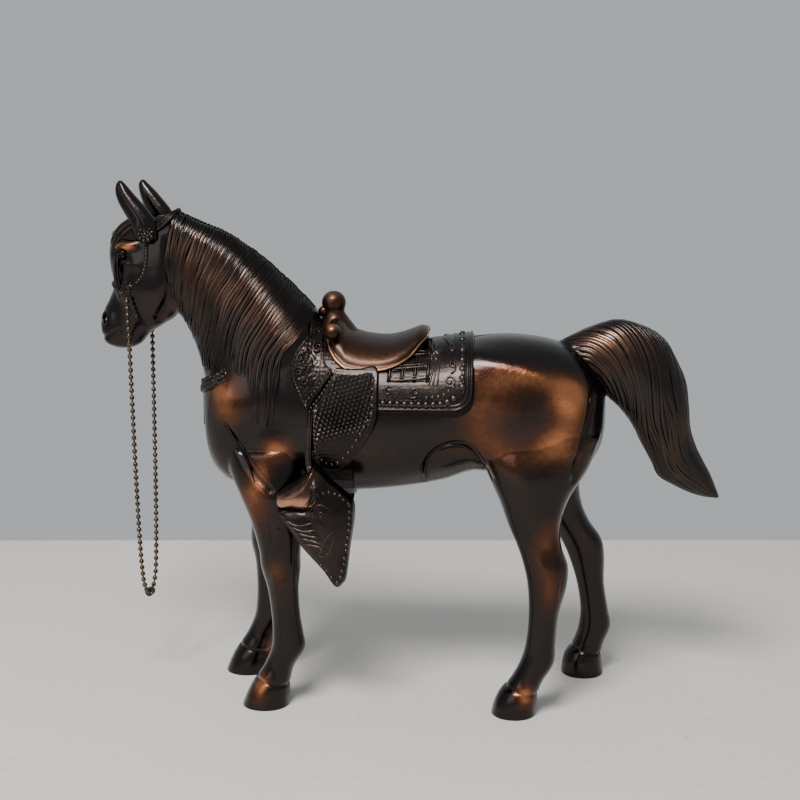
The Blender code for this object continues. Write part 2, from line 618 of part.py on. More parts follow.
def make_stirrups(groups, finishes):
    parts = groups["saddled_horse"]
    for side, word in ((-1, "near"), (1, "off")):
        made = [lens_solid(word + "_tapadero", parts, HOOD, side, 33.6, 10.0, (-35, 88)),
                lens_solid(word + "_stirrup_bowl", parts, BOWL, side, 33.8, 9.4, (-47.5, 101.2)),
                lens_solid(word + "_stirrup_leather", parts, HANGER, side, 30.6, 3.4, (-41.9, 113))]
        for obj in made:
            if side > 0:
                for vert in obj.data.vertices:
                    vert.co.x += OFF_STIRRUP_STEP * MM
            obj.data.materials.append(finishes["tooled"])


def open_sleeve(name, group, centre, way, inner, wall, length):
    """A short tube around an axis, open at both ends."""
    first = np.cross(way, (0, 0, 1.0))
    first /= np.linalg.norm(first)
    second = np.cross(way, first)
    around = 16
    turn = np.arange(around) * 2 * math.pi / around
    out = np.cos(turn)[:, None] * first + np.sin(turn)[:, None] * second
    rings = [centre + way * length * end + out * radius for radius, end in
             ((inner, -0.5), (inner + wall, -0.5), (inner + wall, 0.5), (inner, 0.5))]
    faces = [(r * around + i, r * around + (i + 1) % around,
              (r + 1) % 4 * around + (i + 1) % around, (r + 1) % 4 * around + i)
             for r in range(4) for i in range(around)]
    return mesh_object(name, np.vstack(rings), faces, group)


def make_reins(groups, finishes):
    """The ball-chain loop between the two bit loops, its clasp, and the loops that hold it."""
    parts, guides = groups["saddled_horse"], groups["guides"]
    for side, word in ((-1, "near"), (1, "off")):
        bpy.ops.mesh.primitive_torus_add(major_radius=1.5 * MM, minor_radius=0.45 * MM,
                                         major_segments=14, minor_segments=6,
                                         rotation=(math.radians(90), 0, 0))
        loop = bpy.context.object
        loop.name = word + "_bit_loop"
        loop.data.transform(loop.matrix_world)
        loop.matrix_world.identity()
        for vert in loop.data.vertices:
            vert.co += Vector((BIT[0], side * BIT[1], BIT[2])) * MM
        for other in loop.users_collection:
            other.objects.unlink(loop)
        parts.objects.link(loop)
        turn_object(loop)
        loop.data.materials.append(finishes["brass"])
    near, off = turned([(BIT[0], -BIT[1], BIT[2]), (BIT[0], BIT[1], BIT[2])])[:, :2]
    middle, way = (near + off) / 2, (off - near) / np.linalg.norm(off - near)
    route = [(-s, z) for s, z in CHAIN_SAG] + CHAIN_SAG[-2::-1]
    line = np.array([(*(middle + way * s), z) for s, z in smooth_rows(route, 3)])
    curve = bpy.data.curves.new("rein_chain", "CURVE")
    curve.dimensions = "3D"
    curve.bevel_depth = BEAD_D / 2 * MM
    curve.bevel_resolution = 2
    curve.use_fill_caps = True
    spline = curve.splines.new("POLY")
    spline.points.add(len(line) - 1)
    for point, co in zip(spline.points, line):
        point.co = (*(co * MM), 1.0)
    chain = bpy.data.objects.new("rein_chain", curve)
    parts.objects.link(chain)
    curve.materials.append(finishes["brass"])
    clasp = open_sleeve("chain_clasp", parts, np.array([*middle, CHAIN_SAG[-1][1]]),
                        np.array([*way, 0.0]), BEAD_D / 2 + GAP, 0.55, 3.0)
    clasp.data.materials.append(finishes["brass"])


def main():
    groups = start_scene()
    finishes = {"bronze": new_material("patinated_bronze", (0.09, 0.045, 0.028), 0.28),
                "seat": new_material("rubbed_brown", (0.10, 0.055, 0.035), 0.42),
                "tooled": new_material("dark_tooled", (0.045, 0.035, 0.032), 0.34),
                "brass": new_material("antique_brass", (0.20, 0.13, 0.07), 0.38)}
    horse, hollow = make_horse(groups)
    straight_horse = evaluated_copy(horse, "straight_horse", groups["guides"])
    tree = surface_tree(straight_horse)
    turn_object(horse)
    turn_object(hollow)
    cut_horse(groups, horse, hollow, finishes)
    make_saddle(groups, straight_horse, tree, finishes)
    make_bridle(groups, tree, finishes)
    make_collar(groups, tree, finishes)
    make_stirrups(groups, finishes)
    make_reins(groups, finishes)
    for obj in groups["saddled_horse"].objects:
        obj.data.transform(Matrix.Translation((CENTRE_SHIFT * MM, 0, 0)))
    for obj in groups["guides"].objects:
        obj.hide_render = True
        obj.display_type = "WIRE"
    for obj in groups["saddled_horse"].objects:
        if obj.type == "MESH":
            obj.data.shade_smooth()
            obj.data.set_sharp_from_angle(angle=math.radians(40))


main()
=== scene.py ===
# Saddled horse figurine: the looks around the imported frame.
# Lengths in the script are millimetres in the straight horse's frame, which faces -X.
# The head and neck are turned last, by turned(), as the cast pieces are.
import math

import bpy
import numpy as np
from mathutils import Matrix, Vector
from mathutils.bvhtree import BVHTree


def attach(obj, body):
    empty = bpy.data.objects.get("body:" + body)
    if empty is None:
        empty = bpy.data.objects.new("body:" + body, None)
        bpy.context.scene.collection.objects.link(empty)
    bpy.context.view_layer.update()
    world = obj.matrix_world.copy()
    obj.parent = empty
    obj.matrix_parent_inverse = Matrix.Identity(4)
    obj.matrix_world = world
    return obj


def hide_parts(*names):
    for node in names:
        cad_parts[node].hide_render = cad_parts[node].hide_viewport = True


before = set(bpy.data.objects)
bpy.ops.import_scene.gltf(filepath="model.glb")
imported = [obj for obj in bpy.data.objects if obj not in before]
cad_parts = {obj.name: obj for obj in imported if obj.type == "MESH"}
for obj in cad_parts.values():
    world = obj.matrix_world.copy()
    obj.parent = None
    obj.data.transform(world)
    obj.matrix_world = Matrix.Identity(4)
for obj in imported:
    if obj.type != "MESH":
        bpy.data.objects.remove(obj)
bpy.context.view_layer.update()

mm = 0.001
centreShift = 0.55       # the whole horse sits this far along x, as in the CAD model
headTurn = math.radians(12)
turnPivot, turnStart, turnEnd = -90.0, -78.0, -104.0
turnLow, turnHigh = 128.0, 158.0
headReach = 1.065
sides = ((-1, "near"), (1, "off"))


def smoothRows(rows, steps):
    # Catmull-Rom: each span is a cubic through its own two rows, with the slopes of the rows around it
    rows = np.asarray(rows, float)
    padded = np.vstack([2 * rows[0] - rows[1], rows, 2 * rows[-1] - rows[-2]])
    t = (np.arange(steps) / steps)[None, :, None]
    a, b, c, d = (padded[k:len(padded) - 3 + k, None, :] for k in range(4))
    spans = 0.5 * (2 * b + (c - a) * t + (2 * a - 5 * b + 4 * c - d) * t ** 2
                   + (3 * b - a - 3 * c + d) * t ** 3)
    return np.vstack([spans.reshape(-1, rows.shape[1]), rows[-1]])


def eased(share):
    share = np.clip(share, 0, 1)
    return share ** 2 * (3 - 2 * share)


def unit(vectors):
    # each vector at length 1
    return vectors / np.maximum(np.linalg.norm(vectors, axis=-1, keepdims=True), 1e-9)


def heading(line):
    return unit(np.gradient(line, axis=0))


def fullTurn(count):
    return np.arange(count) * 2 * math.pi / count


def softened(rounds, *rows):
    # once a round, each point between the ends becomes (before + 2 itself + after) / 4
    for _ in range(rounds):
        for row in rows:
            row[1:-1] = (row[:-2] + 2 * row[1:-1] + row[2:]) / 4
    return rows


def reachAlong(line):
    # the distance walked along the line to each of its points
    return np.concatenate([[0], np.cumsum(np.linalg.norm(np.diff(line, axis=0), axis=1))])


def alongLine(line, distances, rows=None):
    # the line's own points, or rows that go with them, read at distances along the line
    reach = reachAlong(line)
    return np.stack([np.interp(distances, reach, column) for column in (line if rows is None else rows).T], 1)


def linked(name, data):
    obj = bpy.data.objects.new(name, data)
    bpy.context.scene.collection.objects.link(obj)
    return obj


def turned(points):
    # bends the neck and turns the head to the off side about a vertical line, fading in along x and z
    points = np.array(points, float)
    share = eased((turnStart - points[:, 0]) / (turnStart - turnEnd))
    share = share * eased((points[:, 2] - turnLow) / (turnHigh - turnLow))
    angle = headTurn * share
    along = points[:, 0] - turnPivot
    along = np.where(points[:, 0] < turnPivot, along * (1 + (headReach - 1) * share), along)
    x = turnPivot + along * np.cos(angle) + points[:, 1] * np.sin(angle)
    y = -along * np.sin(angle) + points[:, 1] * np.cos(angle)
    return np.stack([x, y, points[:, 2]], 1)


# ---- camera and stage
camera = {"azimuth": math.radians(3.0), "elevation": math.radians(10.5),
          "target": (-4.0, 0.0, 137.8), "distance": 588.0, "lens": 58.5, "sensor": 36.0, "clip": 0.01}


def makeCamera(view):
    data = bpy.data.cameras.new("camera")
    data.lens, data.sensor_width, data.clip_start = view["lens"], view["sensor"], view["clip"]
    eye = linked("camera", data)
    back = Vector((math.sin(view["azimuth"]) * math.cos(view["elevation"]),
                   -math.cos(view["azimuth"]) * math.cos(view["elevation"]),
                   math.sin(view["elevation"])))
    target = Vector(view["target"]) + Vector((centreShift, 0, 0))
    eye.location = (target + back * view["distance"]) * mm
    eye.rotation_euler = back.to_track_quat("Z", "Y").to_euler()
    bpy.context.scene.camera = eye


makeCamera(camera)

# ---- meshes from arrays


def gridQuads(rows, columns, wrap):
    r, c = np.meshgrid(np.arange(rows - 1), np.arange(columns if wrap else columns - 1),
                       indexing="ij")
    r, c = r.ravel(), c.ravel()
    nextC = (c + 1) % columns
    return np.stack([r * columns + c, r * columns + nextC,
                     (r + 1) * columns + nextC, (r + 1) * columns + c], 1)


def volumeSign(points, faces):
    a, b, c = points[faces[:, 0]], points[faces[:, 1]], points[faces[:, 2]]
    total = (np.cross(a, b) * c).sum()
    if faces.shape[1] == 4:
        total += (np.cross(a, c) * points[faces[:, 3]]).sum()
    return total


def shell(points, quads, tris=None):
    # a closed skin as arrays, its faces turned so that they look outwards
    points = np.asarray(points, float)
    tris = np.zeros((0, 3), int) if tris is None else np.asarray(tris)
    middle = points - points.mean(0)
    total = volumeSign(middle, quads) + (volumeSign(middle, tris) if len(tris) else 0)
    if total < 0:
        quads, tris = quads[:, ::-1], tris[:, ::-1]
    return points, quads, tris


def joined(shells):
    points, quads, tris, first = [], [], [], 0
    for p, q, t in shells:
        points.append(p)
        quads.append(q + first)
        tris.append(t + first)
        first += len(p)
    return np.vstack(points), np.vstack(quads), np.vstack(tris)


def makeObject(name, parts, materials=(), smooth=True, bend=True, attributes=None):
    points, quads, tris = parts
    place = (turned(points) if bend else points) + (centreShift, 0, 0)
    mesh = bpy.data.meshes.new(name)
    mesh.vertices.add(len(points))
    mesh.vertices.foreach_set("co", (place * mm).astype(np.float32).ravel())
    mesh.loops.add(quads.size + tris.size)
    corners = np.concatenate([quads.ravel(), tris.ravel()])
    mesh.loops.foreach_set("vertex_index", corners.astype(np.int32))
    mesh.polygons.add(len(quads) + len(tris))
    starts = np.concatenate([np.arange(len(quads)) * 4, quads.size + np.arange(len(tris)) * 3])
    mesh.polygons.foreach_set("loop_start", starts.astype(np.int32))
    mesh.polygons.foreach_set("use_smooth", np.full(len(starts), smooth))
    mesh.update(calc_edges=True)
    mesh.validate()
    for key, values in (attributes or {}).items():
        layer = mesh.attributes.new(key, "FLOAT", "POINT")
        layer.data.foreach_set("value", np.array(values, np.float32, order="C"))
    for material in materials:
        mesh.materials.append(material)
    return linked(name, mesh)


def closedGrid(grid, ends):
    # rings joined by quads, with a fan to an end point at both ends
    rows, around, _ = grid.shape
    count, turns = rows * around, np.arange(around)
    after = (turns + 1) % around
    caps = [np.stack([np.full(around, count), after, turns], 1),
            np.stack([np.full(around, count + 1), count - around + turns, count - around + after], 1)]
    return shell(np.vstack([grid.reshape(-1, 3), ends]), gridQuads(rows, around, True), np.vstack(caps))


def tube(line, radius, around=10):
    # a ring of the given radius carried along the line
    way = heading(line)
    first = unit(np.cross(way, (0.31, 0.87, 0.39)))
    second = np.cross(way, first)
    turn = fullTurn(around)[None, :, None]
    rings = line[:, None] + radius * (np.cos(turn) * first[:, None] + np.sin(turn) * second[:, None])
    return closedGrid(rings, [line[0], line[-1]])


def turnedForm(profile, centre, out, around=16):
    # a profile of radius and height turned about the line from centre along out
    profile, centre, out = np.asarray(profile, float), np.asarray(centre, float), unit(np.asarray(out, float))
    first = unit(np.cross(out, (0.13, 0.21, 0.97)))
    turn = fullTurn(around)[:, None]
    spokes = np.cos(turn) * first + np.sin(turn) * np.cross(out, first)
    rings = centre + profile[1:-1, :1, None] * spokes + profile[1:-1, 1:, None] * out
    return closedGrid(rings, centre + profile[[0, -1], 1:] * out)


def bead(centre, out, radius, height=None, around=10):
    # a low dome: radius r and height h follow a quarter circle
    height = radius if height is None else height
    rise = np.linspace(0, math.pi / 2, 5)
    profile = [(0, -0.35 * radius), (radius, -0.3 * radius)]
    profile += [(radius * math.cos(a), height * math.sin(a)) for a in rise]
    return turnedForm(profile, centre, out, around)


def ball(centre, radius, around=12, rows=7):
    rise = np.linspace(-math.pi / 2, math.pi / 2, rows)
    profile = [(radius * math.cos(a), radius * math.sin(a)) for a in rise]
    return turnedForm(profile, centre, (0, 0, 1.0), around)


# ---- rein chain: number 3 ball chain, 2.4 mm beads, hung from the two bit loops
chain = {"beadRadius": 1.2, "pitch": 3.14, "wireRadius": 0.42, "wireEnd": 0.2,
         "bit": (-122.0, 12.4, 187.0),
         "sag": [(12.7, 184.4), (12.5, 178.0), (11.9, 165.0), (11.5, 150.0), (11.1, 133.0),
                 (10.6, 114.0), (10.0, 96.0), (9.3, 80.0), (8.4, 66.0), (7.5, 57.0),
                 (6.4, 50.5), (4.4, 45.8), (2.2, 43.4), (0.0, 42.8)]}
near, off = turned([(chain["bit"][0], -chain["bit"][1], chain["bit"][2]), chain["bit"]])
chainMiddle, chainWay = (near + off) / 2, (off - near) / np.linalg.norm(off - near)


def chainRoute():
    # half-distance and height pairs, mirrored, on the upright plane through both bit loops
    rows = [(-s, z) for s, z in chain["sag"]] + chain["sag"][-2::-1]
    flat = smoothRows(rows, 12)
    place = chainMiddle[:2] + chainWay[:2] * flat[:, :1]
    return np.concatenate([place, flat[:, 1:]], 1)


chainLine = chainRoute()
chainLength = reachAlong(chainLine)[-1]
chainBeads = int(chainLength // chain["pitch"])
chainMargin = (chainLength - chainBeads * chain["pitch"]) / 2 + chain["pitch"] / 2
beadPlaces = alongLine(chainLine, chainMargin + np.arange(chainBeads) * chain["pitch"])
wireLine = alongLine(chainLine, np.linspace(chain["wireEnd"], chainLength - chain["wireEnd"], 200))
print("chain", round(chainLength, 1), "mm", chainBeads, "beads")

# ---- the horse's skin: cross-sections given by top x, top z, bottom x, bottom z and half width
torsoStations = [(-91.6, 147, -92.0, 128, 6), (-89.5, 154, -91.3, 117, 13), (-85, 161, -88, 107, 18.5),
                 (-77, 167, -80, 100, 23), (-66, 172, -67, 97.5, 26), (-52, 173.5, -52, 96.5, 27),
                 (-37, 169, -36, 96.5, 28), (-20, 164.2, -20, 97.3, 30), (-2, 163, -2, 99.2, 31),
                 (16, 164.5, 16, 102.5, 31), (30, 167.2, 31, 107, 30.5), (44, 168.3, 45, 103, 31),
                 (56, 167.4, 57, 101, 31), (67, 165, 69, 103, 28.5), (77, 160, 79, 108, 24),
                 (84.5, 151, 85.5, 117, 16), (87.6, 143, 87.8, 126, 8)]
neckStations = [(-103.5, 221.5, -106, 177, 8.8), (-94, 217.6, -103, 176, 9.6),
                (-83.5, 213.4, -99.2, 170.5, 10.6), (-75, 208.2, -96, 163.5, 12),
                (-66, 201.6, -93.5, 155, 14.6), (-56, 192.6, -91.6, 146, 18.2),
                (-46, 182.6, -90, 134, 22), (-38, 171.5, -84, 122, 25)]
headStations = [(-103, 221.8, -100, 187, 7.6), (-112, 220.2, -102.6, 178.6, 9.6),
                (-121.5, 219.6, -106.5, 174.2, 10.8), (-129.2, 215.8, -110.5, 171.6, 11.2),
                (-133.4, 208.4, -114, 169.3, 10.6), (-133.8, 199.5, -117, 167.4, 9.0),
                (-132.4, 190.5, -119.5, 164.9, 7.8), (-135.2, 182.8, -121.5, 162.4, 7.5),
                (-138.2, 176.6, -124.5, 160.4, 8.0), (-139.4, 171, -128, 159.4, 7.6),
                (-138.4, 165.4, -131.5, 159.6, 6.0), (-136, 162.2, -133.6, 160.6, 2.4)]
tailStations = [(64, 164, 78, 148, 8), (73, 168, 86.3, 145, 10), (82, 172.4, 89, 141, 11.6),
                (93, 175.2, 91.5, 138.2, 12.6), (104, 172.6, 95.5, 134.2, 13.2),
                (113.5, 166.8, 99, 129.6, 13.2), (119.5, 156.6, 102.3, 124.8, 12.8),
                (123, 148, 105, 119.6, 12), (124.7, 137, 107.6, 114.8, 11),
                (125.8, 127, 110.3, 110, 10), (128.6, 118.6, 113, 104.8, 8.6),
                (132, 112.2, 119.5, 100.8, 7), (135.6, 105.8, 127, 97.1, 5.3),
                (138.4, 99.6, 133, 95.1, 3.4), (140.6, 94.8, 138.2, 94.2, 1.4)]
earStations = {-1: [(-119.5, 210, -108.5, 210, 3.4), (-120.6, 216, -109.6, 217.6, 4.0),
                    (-123.6, 221.2, -112.4, 222, 4.0), (-126.2, 226, -116, 226.2, 3.6),
                    (-127.4, 230.4, -119.6, 230.2, 2.9), (-127, 234, -122.6, 233.8, 1.9),
                    (-125.6, 235.6, -124.4, 235.6, 0.8)],
               1: [(-117.5, 210, -108.5, 210, 3.4), (-118.5, 216, -108.2, 218, 4.0),
                   (-120.5, 221, -109.8, 222.4, 4.0), (-122.7, 226.5, -113.2, 226.8, 3.6),
                   (-123.9, 231, -117, 231.2, 2.9), (-124, 234.2, -120, 234.2, 1.9),
                   (-122.8, 235.8, -121.6, 235.8, 0.8)]}
earMiddle = 8.2
# centre x, z, half depth along x, half width along y, centre y of each leg section
forelegStations = [(-60.5, 118, 21, 12, -14.5), (-60, 108, 19, 12.5, -16), (-59, 98, 15.6, 12, -18.2),
                   (-57.6, 86, 12, 10.6, -19.4), (-56.8, 73, 9.4, 9, -20), (-56.4, 65, 8.9, 8.5, -20.2),
                   (-55.6, 55, 7, 6.5, -20.3), (-54.6, 43, 6.5, 6.1, -20.3), (-53.8, 34, 7, 6.7, -20.3),
                   (-53.8, 27, 7.7, 7.2, -20.3), (-57.8, 19, 7, 6.8, -20.3), (-60.6, 13, 8, 8, -20.3),
                   (-63.2, 5, 9.6, 9.3, -20.3), (-64.6, -2, 10.8, 10, -20.3)]
hindlegStations = [(57, 126, 28, 13, -16), (57, 112, 23, 14, -17.5), (56, 99, 15.8, 12.6, -19.5),
                   (56.3, 87, 11.7, 10.6, -21), (58.8, 77, 9.8, 9, -22), (61.8, 68, 9.8, 8.2, -23),
                   (62.4, 59, 8.6, 7.6, -23.6), (61.1, 46, 6.6, 6.2, -24.2), (60.1, 33, 6.6, 6.4, -24.6),
                   (58.6, 24, 7.6, 7.1, -24.8), (54.2, 16, 7.4, 7.1, -24.8), (51.2, 11, 8.4, 8.2, -24.8),
                   (49.2, 5, 9.3, 9.2, -24.8), (48.2, -2, 10, 9.9, -24.8)]
offForeStep = [(-2, -14.8), (25, -14.5), (70, -10.8), (86, -7), (98, -3.5), (118, 0)]
offHindStep = [(-2, 35.2), (16, 32), (33, 28.2), (46, 25), (68, 19), (87, 12.5), (98, 8), (112, 2.5),
               (126, 0)]
skin = {"voxel": 0.7, "softness": 14, "gap": 0.04, "foreCut": 19.5, "hindCut": 22.0,
        "foreInsert": (-98.0, -37.0, 104.0), "hindInsert": (27.0, 101.0, 111.0)}


def loft(stations, y=0.0, around=48, power=2.3, steps=6):
    # superellipse sections: up = sign(cos a)|cos a|^(2/p) between the top and bottom points,
    # across = sign(sin a)|sin a|^(2/p) times the half width
    rows = smoothRows(stations, steps)
    top, bottom = rows[:, 0:2], rows[:, 2:4]
    centre, half = (top + bottom) / 2, (top - bottom) / 2
    turn = fullTurn(around)
    up = np.sign(np.cos(turn)) * np.abs(np.cos(turn)) ** (2 / power)
    across = np.sign(np.sin(turn)) * np.abs(np.sin(turn)) ** (2 / power)
    middle = rows[:, 5] if rows.shape[1] > 5 else np.full(len(rows), y)
    grid = np.stack([centre[:, :1] + half[:, :1] * up, middle[:, None] + rows[:, 4:5] * across,
                     centre[:, 1:] + half[:, 1:] * up], 2)
    ends = [(centre[k, 0], middle[k], centre[k, 1]) for k in (0, -1)]
    return closedGrid(grid, ends)


def stepAt(step, z):
    # how far back the off leg stands at height z
    return float(np.interp(z, *zip(*step)))


def legLoft(stations, side, step=None):
    rows = []
    for x, z, depth, width, y in stations:
        if step:
            x += stepAt(step, z)
        rows.append((x - depth, z, x + depth, z, width, -y * side))
    return loft(rows, around=32, power=2.1)


def readMesh(obj):
    # the object's finished mesh as arrays in millimetres: points, quads, tris and point normals
    mesh = bpy.data.meshes.new_from_object(obj.evaluated_get(bpy.context.evaluated_depsgraph_get()))
    points = np.zeros(len(mesh.vertices) * 3, np.float32)
    mesh.vertices.foreach_get("co", points)
    normals = np.zeros(len(mesh.vertices) * 3, np.float32)
    mesh.vertex_normals.foreach_get("vector", normals)
    totals = np.zeros(len(mesh.polygons), np.int32)
    mesh.polygons.foreach_get("loop_total", totals)
    corners = np.zeros(len(mesh.loops), np.int32)
    mesh.loops.foreach_get("vertex_index", corners)
    starts = np.concatenate([[0], np.cumsum(totals)[:-1]])
    quads = corners[starts[totals == 4][:, None] + np.arange(4)]
    tris = corners[starts[totals == 3][:, None] + np.arange(3)]
    many = [corners[s:s + n] for s, n in zip(starts[totals > 4], totals[totals > 4])]
    fans = [np.stack([np.full(len(f) - 2, f[0]), f[1:-1], f[2:]], 1) for f in many]
    bpy.data.meshes.remove(mesh)
    return (points.reshape(-1, 3).astype(float) / mm, quads, np.vstack([tris] + fans),
            normals.reshape(-1, 3).astype(float))


def plainObject(name, parts):
    # a working object in millimetres times mm, straight and unshifted
    points, quads, tris = parts
    mesh = bpy.data.meshes.new(name)
    mesh.from_pydata((points * mm).tolist(), [], quads.tolist() + tris.tolist())
    return linked(name, mesh)


def castSkin():
    # the torso, neck, head and legs grown into one soft skin
    shells = [loft(torsoStations, around=72), loft(neckStations), loft(headStations, power=2.2)]
    for side in (-1, 1):
        shells.append(legLoft(forelegStations, side, offForeStep if side > 0 else None))
        shells.append(legLoft(hindlegStations, side, offHindStep if side > 0 else None))
    shells.append(loft(tailStations[:6], power=2.0))
    obj = plainObject("skin_work", joined(shells))
    remesh = obj.modifiers.new("skin", "REMESH")
    remesh.mode, remesh.voxel_size = "VOXEL", skin["voxel"] * mm
    soften = obj.modifiers.new("soften", "SMOOTH")
    soften.factor, soften.iterations = 0.5, skin["softness"]
    arrays = readMesh(obj)
    bpy.data.objects.remove(obj, do_unlink=True)
    return arrays


skinPoints, skinQuads, skinTris, _ = castSkin()
skinTree = BVHTree.FromPolygons(skinPoints.tolist(), skinQuads.tolist() + skinTris.tolist())
print("skin", len(skinPoints), "points")


# ---- shaders


class Wire:
    # one output socket, so that shader maths reads as arithmetic
    def __init__(self, graph, socket):
        self.graph, self.socket = graph, socket

    def maths(self, operation, first, second=None):
        return self.graph.add("ShaderNodeMath", {"operation": operation},
                              {0: first} if second is None else {0: first, 1: second})

    def __add__(self, other): return self.maths("ADD", self, other)
    def __radd__(self, other): return self.maths("ADD", other, self)
    def __sub__(self, other): return self.maths("SUBTRACT", self, other)
    def __rsub__(self, other): return self.maths("SUBTRACT", other, self)
    def __mul__(self, other): return self.maths("MULTIPLY", self, other)
    def __rmul__(self, other): return self.maths("MULTIPLY", other, self)
    def clamped(self): return self.graph.add("ShaderNodeClamp", {}, {"Value": self})
    def ramp(self, low, high):
        return self.graph.add("ShaderNodeMapRange", {"interpolation_type": "SMOOTHSTEP"},
                              {"Value": self, "From Min": low, "From Max": high})


class Graph:
    def __init__(self, name):
        self.material = bpy.data.materials.new(name)
        self.material.use_nodes = True
        self.tree = self.material.node_tree
        self.shader = self.tree.nodes["Principled BSDF"]
        self.place = self.add("ShaderNodeTexCoord", {}, {}, "Object")

    def connect(self, socket, value):
        if isinstance(value, Wire):
            self.tree.links.new(value.socket, socket)
        elif isinstance(value, tuple) and len(value) == 3 and socket.type == "RGBA":
            socket.default_value = (*value, 1.0)
        else:
            socket.default_value = value

    def add(self, kind, settings, inputs, output=0):
        node = self.tree.nodes.new(kind)
        for key, value in settings.items():
            setattr(node, key, value)
        for key, value in inputs.items():
            self.connect(node.inputs[key], value)
        return Wire(self, node.outputs[output])

    def noise(self, scale, detail=3.0, roughness=0.55):
        return self.add("ShaderNodeTexNoise", {}, {"Vector": self.place, "Scale": scale, "Detail": detail,
                                                   "Roughness": roughness})

    def attribute(self, name):
        return self.add("ShaderNodeAttribute", {"attribute_name": name}, {}, "Fac")

    def mix(self, share, first, second):
        return self.add("ShaderNodeMix", {"data_type": "RGBA"}, {0: share, 6: first, 7: second}, 2)

    def bump(self, height, strength, distance, normal=None):
        inputs = {"Height": height, "Strength": strength, "Distance": distance}
        if normal is not None:
            inputs["Normal"] = normal
        return self.add("ShaderNodeBump", {}, inputs)

    def finish(self, **sockets):
        for key, value in sockets.items():
            self.connect(self.shader.inputs[key.replace("_", " ")], value)
        return self.material


def castBronze(name, dark, brown, copper, rough, rubbed, grain, coat=0.35):
    # near-black patina, brown where it is thin, and bare copper where it is rubbed through or where
    # highlights on the hair are painted in; near black where shade is painted into creases and hollows
    g = Graph(name)
    patches, fine, speck = g.noise(45.0, 4.0), g.noise(420.0, 3.0), g.noise(1500.0, 2.0)
    rub = g.attribute("rub") + (patches - 0.5) * 0.25 + (fine - 0.5) * 0.22
    worn = rub.ramp(0.38, 1.15)
    thin = (rub + (patches - 0.5) * 0.4).ramp(0.05, 0.6)
    colour = g.mix(thin, dark, brown)
    colour = g.mix(worn, colour, copper)
    # painted shade: near black in the creases, the nostril and the ear's hollow
    colour = g.mix(g.attribute("painted_shade").clamped(), colour, (0.006, 0.005, 0.005))
    roughness = rough + (fine - 0.5) * 0.10 + worn * rubbed + (patches - 0.5) * 0.08
    normal = g.bump(speck, grain, 0.00012, g.bump(fine, grain * 0.8, 0.0005))
    return g.finish(Base_Color=colour, Metallic=1.0, Roughness=roughness, Normal=normal,
                    Coat_Weight=coat, Coat_Roughness=0.16)


finish = {
    "bronze": castBronze("patinated_bronze", (0.016, 0.012, 0.011), (0.085, 0.027, 0.010),
                         (0.50, 0.185, 0.075), 0.22, 0.06, 0.35),
    "hair": castBronze("combed_bronze", (0.022, 0.017, 0.015), (0.075, 0.033, 0.019),
                       (0.46, 0.24, 0.15), 0.27, 0.0, 0.2),
    "seat": castBronze("rubbed_brown", (0.034, 0.016, 0.010), (0.085, 0.038, 0.020),
                       (0.42, 0.20, 0.11), 0.42, -0.10, 0.3, 0.2),
    "tooled": castBronze("dark_tooled", (0.020, 0.016, 0.015), (0.070, 0.052, 0.046),
                         (0.50, 0.42, 0.38), 0.30, -0.06, 0.3, 0.08),
    "brass": castBronze("antique_brass", (0.040, 0.028, 0.018), (0.110, 0.074, 0.042),
                        (0.34, 0.25, 0.15), 0.32, 0.0, 0.2)}


def addPiece(name, parts, look, nodes=(), body="root", bend=True, rub=0.0, painted_shade=0.0):
    count = len(parts[0])
    attributes = {"rub": np.broadcast_to(rub, count), "painted_shade": np.broadcast_to(painted_shade, count)}
    obj = makeObject(name, parts, [finish[look]], bend=bend, attributes=attributes)
    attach(obj, body)
    if nodes:
        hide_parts(*nodes)
    return obj


# ---- the stage: a pale floor against a pale sky, soft light from above
stageSetup = {"back": 241.0, "front": -900.0, "halfWide": 1500.0, "slant": 80.0}


def makeStage():
    wide, front, back, slant = (stageSetup[key] for key in ("halfWide", "front", "back", "slant"))
    points = np.array([(-wide, front, 0), (wide, front, 0), (-wide, back - slant, 0),
                       (wide, back + slant, 0)], float)
    g = Graph("pale_concrete")
    clouds, pores = g.noise(7.0, 5.0), g.noise(160.0, 4.0)
    tone = g.mix((clouds - 0.35).clamped() * 0.5, (0.68, 0.645, 0.60), (0.47, 0.475, 0.47))
    tone = g.mix(pores.ramp(0.62, 0.75) * 0.35, tone, (0.28, 0.28, 0.28))
    material = g.finish(Base_Color=tone, Roughness=0.8, Normal=g.bump(pores, 0.25, 0.001))
    floor = makeObject("floor", (points, np.array([(0, 1, 3, 2)]), np.zeros((0, 3), int)),
                       [material], smooth=False, bend=False)


def areaLight(name, place, target, size, power, colour):
    data = bpy.data.lights.new(name, "AREA")
    data.shape, data.size, data.size_y = "RECTANGLE", *size
    data.energy, data.color = power, colour
    obj = linked(name, data)
    obj.location = place
    obj.rotation_euler = (Vector(target) - Vector(place)).to_track_quat("-Z", "Y").to_euler()


def makeLight():
    areaLight("sky_panel", (-0.22, -0.62, 1.05), (0, 0.0, 0.1), (0.42, 0.34), 17.0, (1.0, 0.98, 0.96))
    areaLight("front_panel", (-0.9, -1.3, 0.75), (0, 0, 0.12), (1.1, 0.9), 5.0, (0.96, 0.98, 1.0))
    world = bpy.data.worlds.new("studio")
    bpy.context.scene.world = world
    world.use_nodes = True
    background = world.node_tree.nodes["Background"]
    background.inputs["Color"].default_value = (0.80, 0.84, 0.87, 1.0)
    background.inputs["Strength"].default_value = 0.56


makeStage()
makeLight()

# ---- the chain as one piece of beads on a wire
beads = joined([ball(p, chain["beadRadius"]) for p in beadPlaces]
               + [tube(wireLine, chain["wireRadius"], 8)])
reinChain = addPiece("ball_chain", beads, "brass", ["rein_chain"], "reins", bend=False,
                     rub=0.35 + 0.3 * np.sin(np.arange(len(beads[0])) * 0.7))
print("chain done")

# ---- surface helpers on the skin


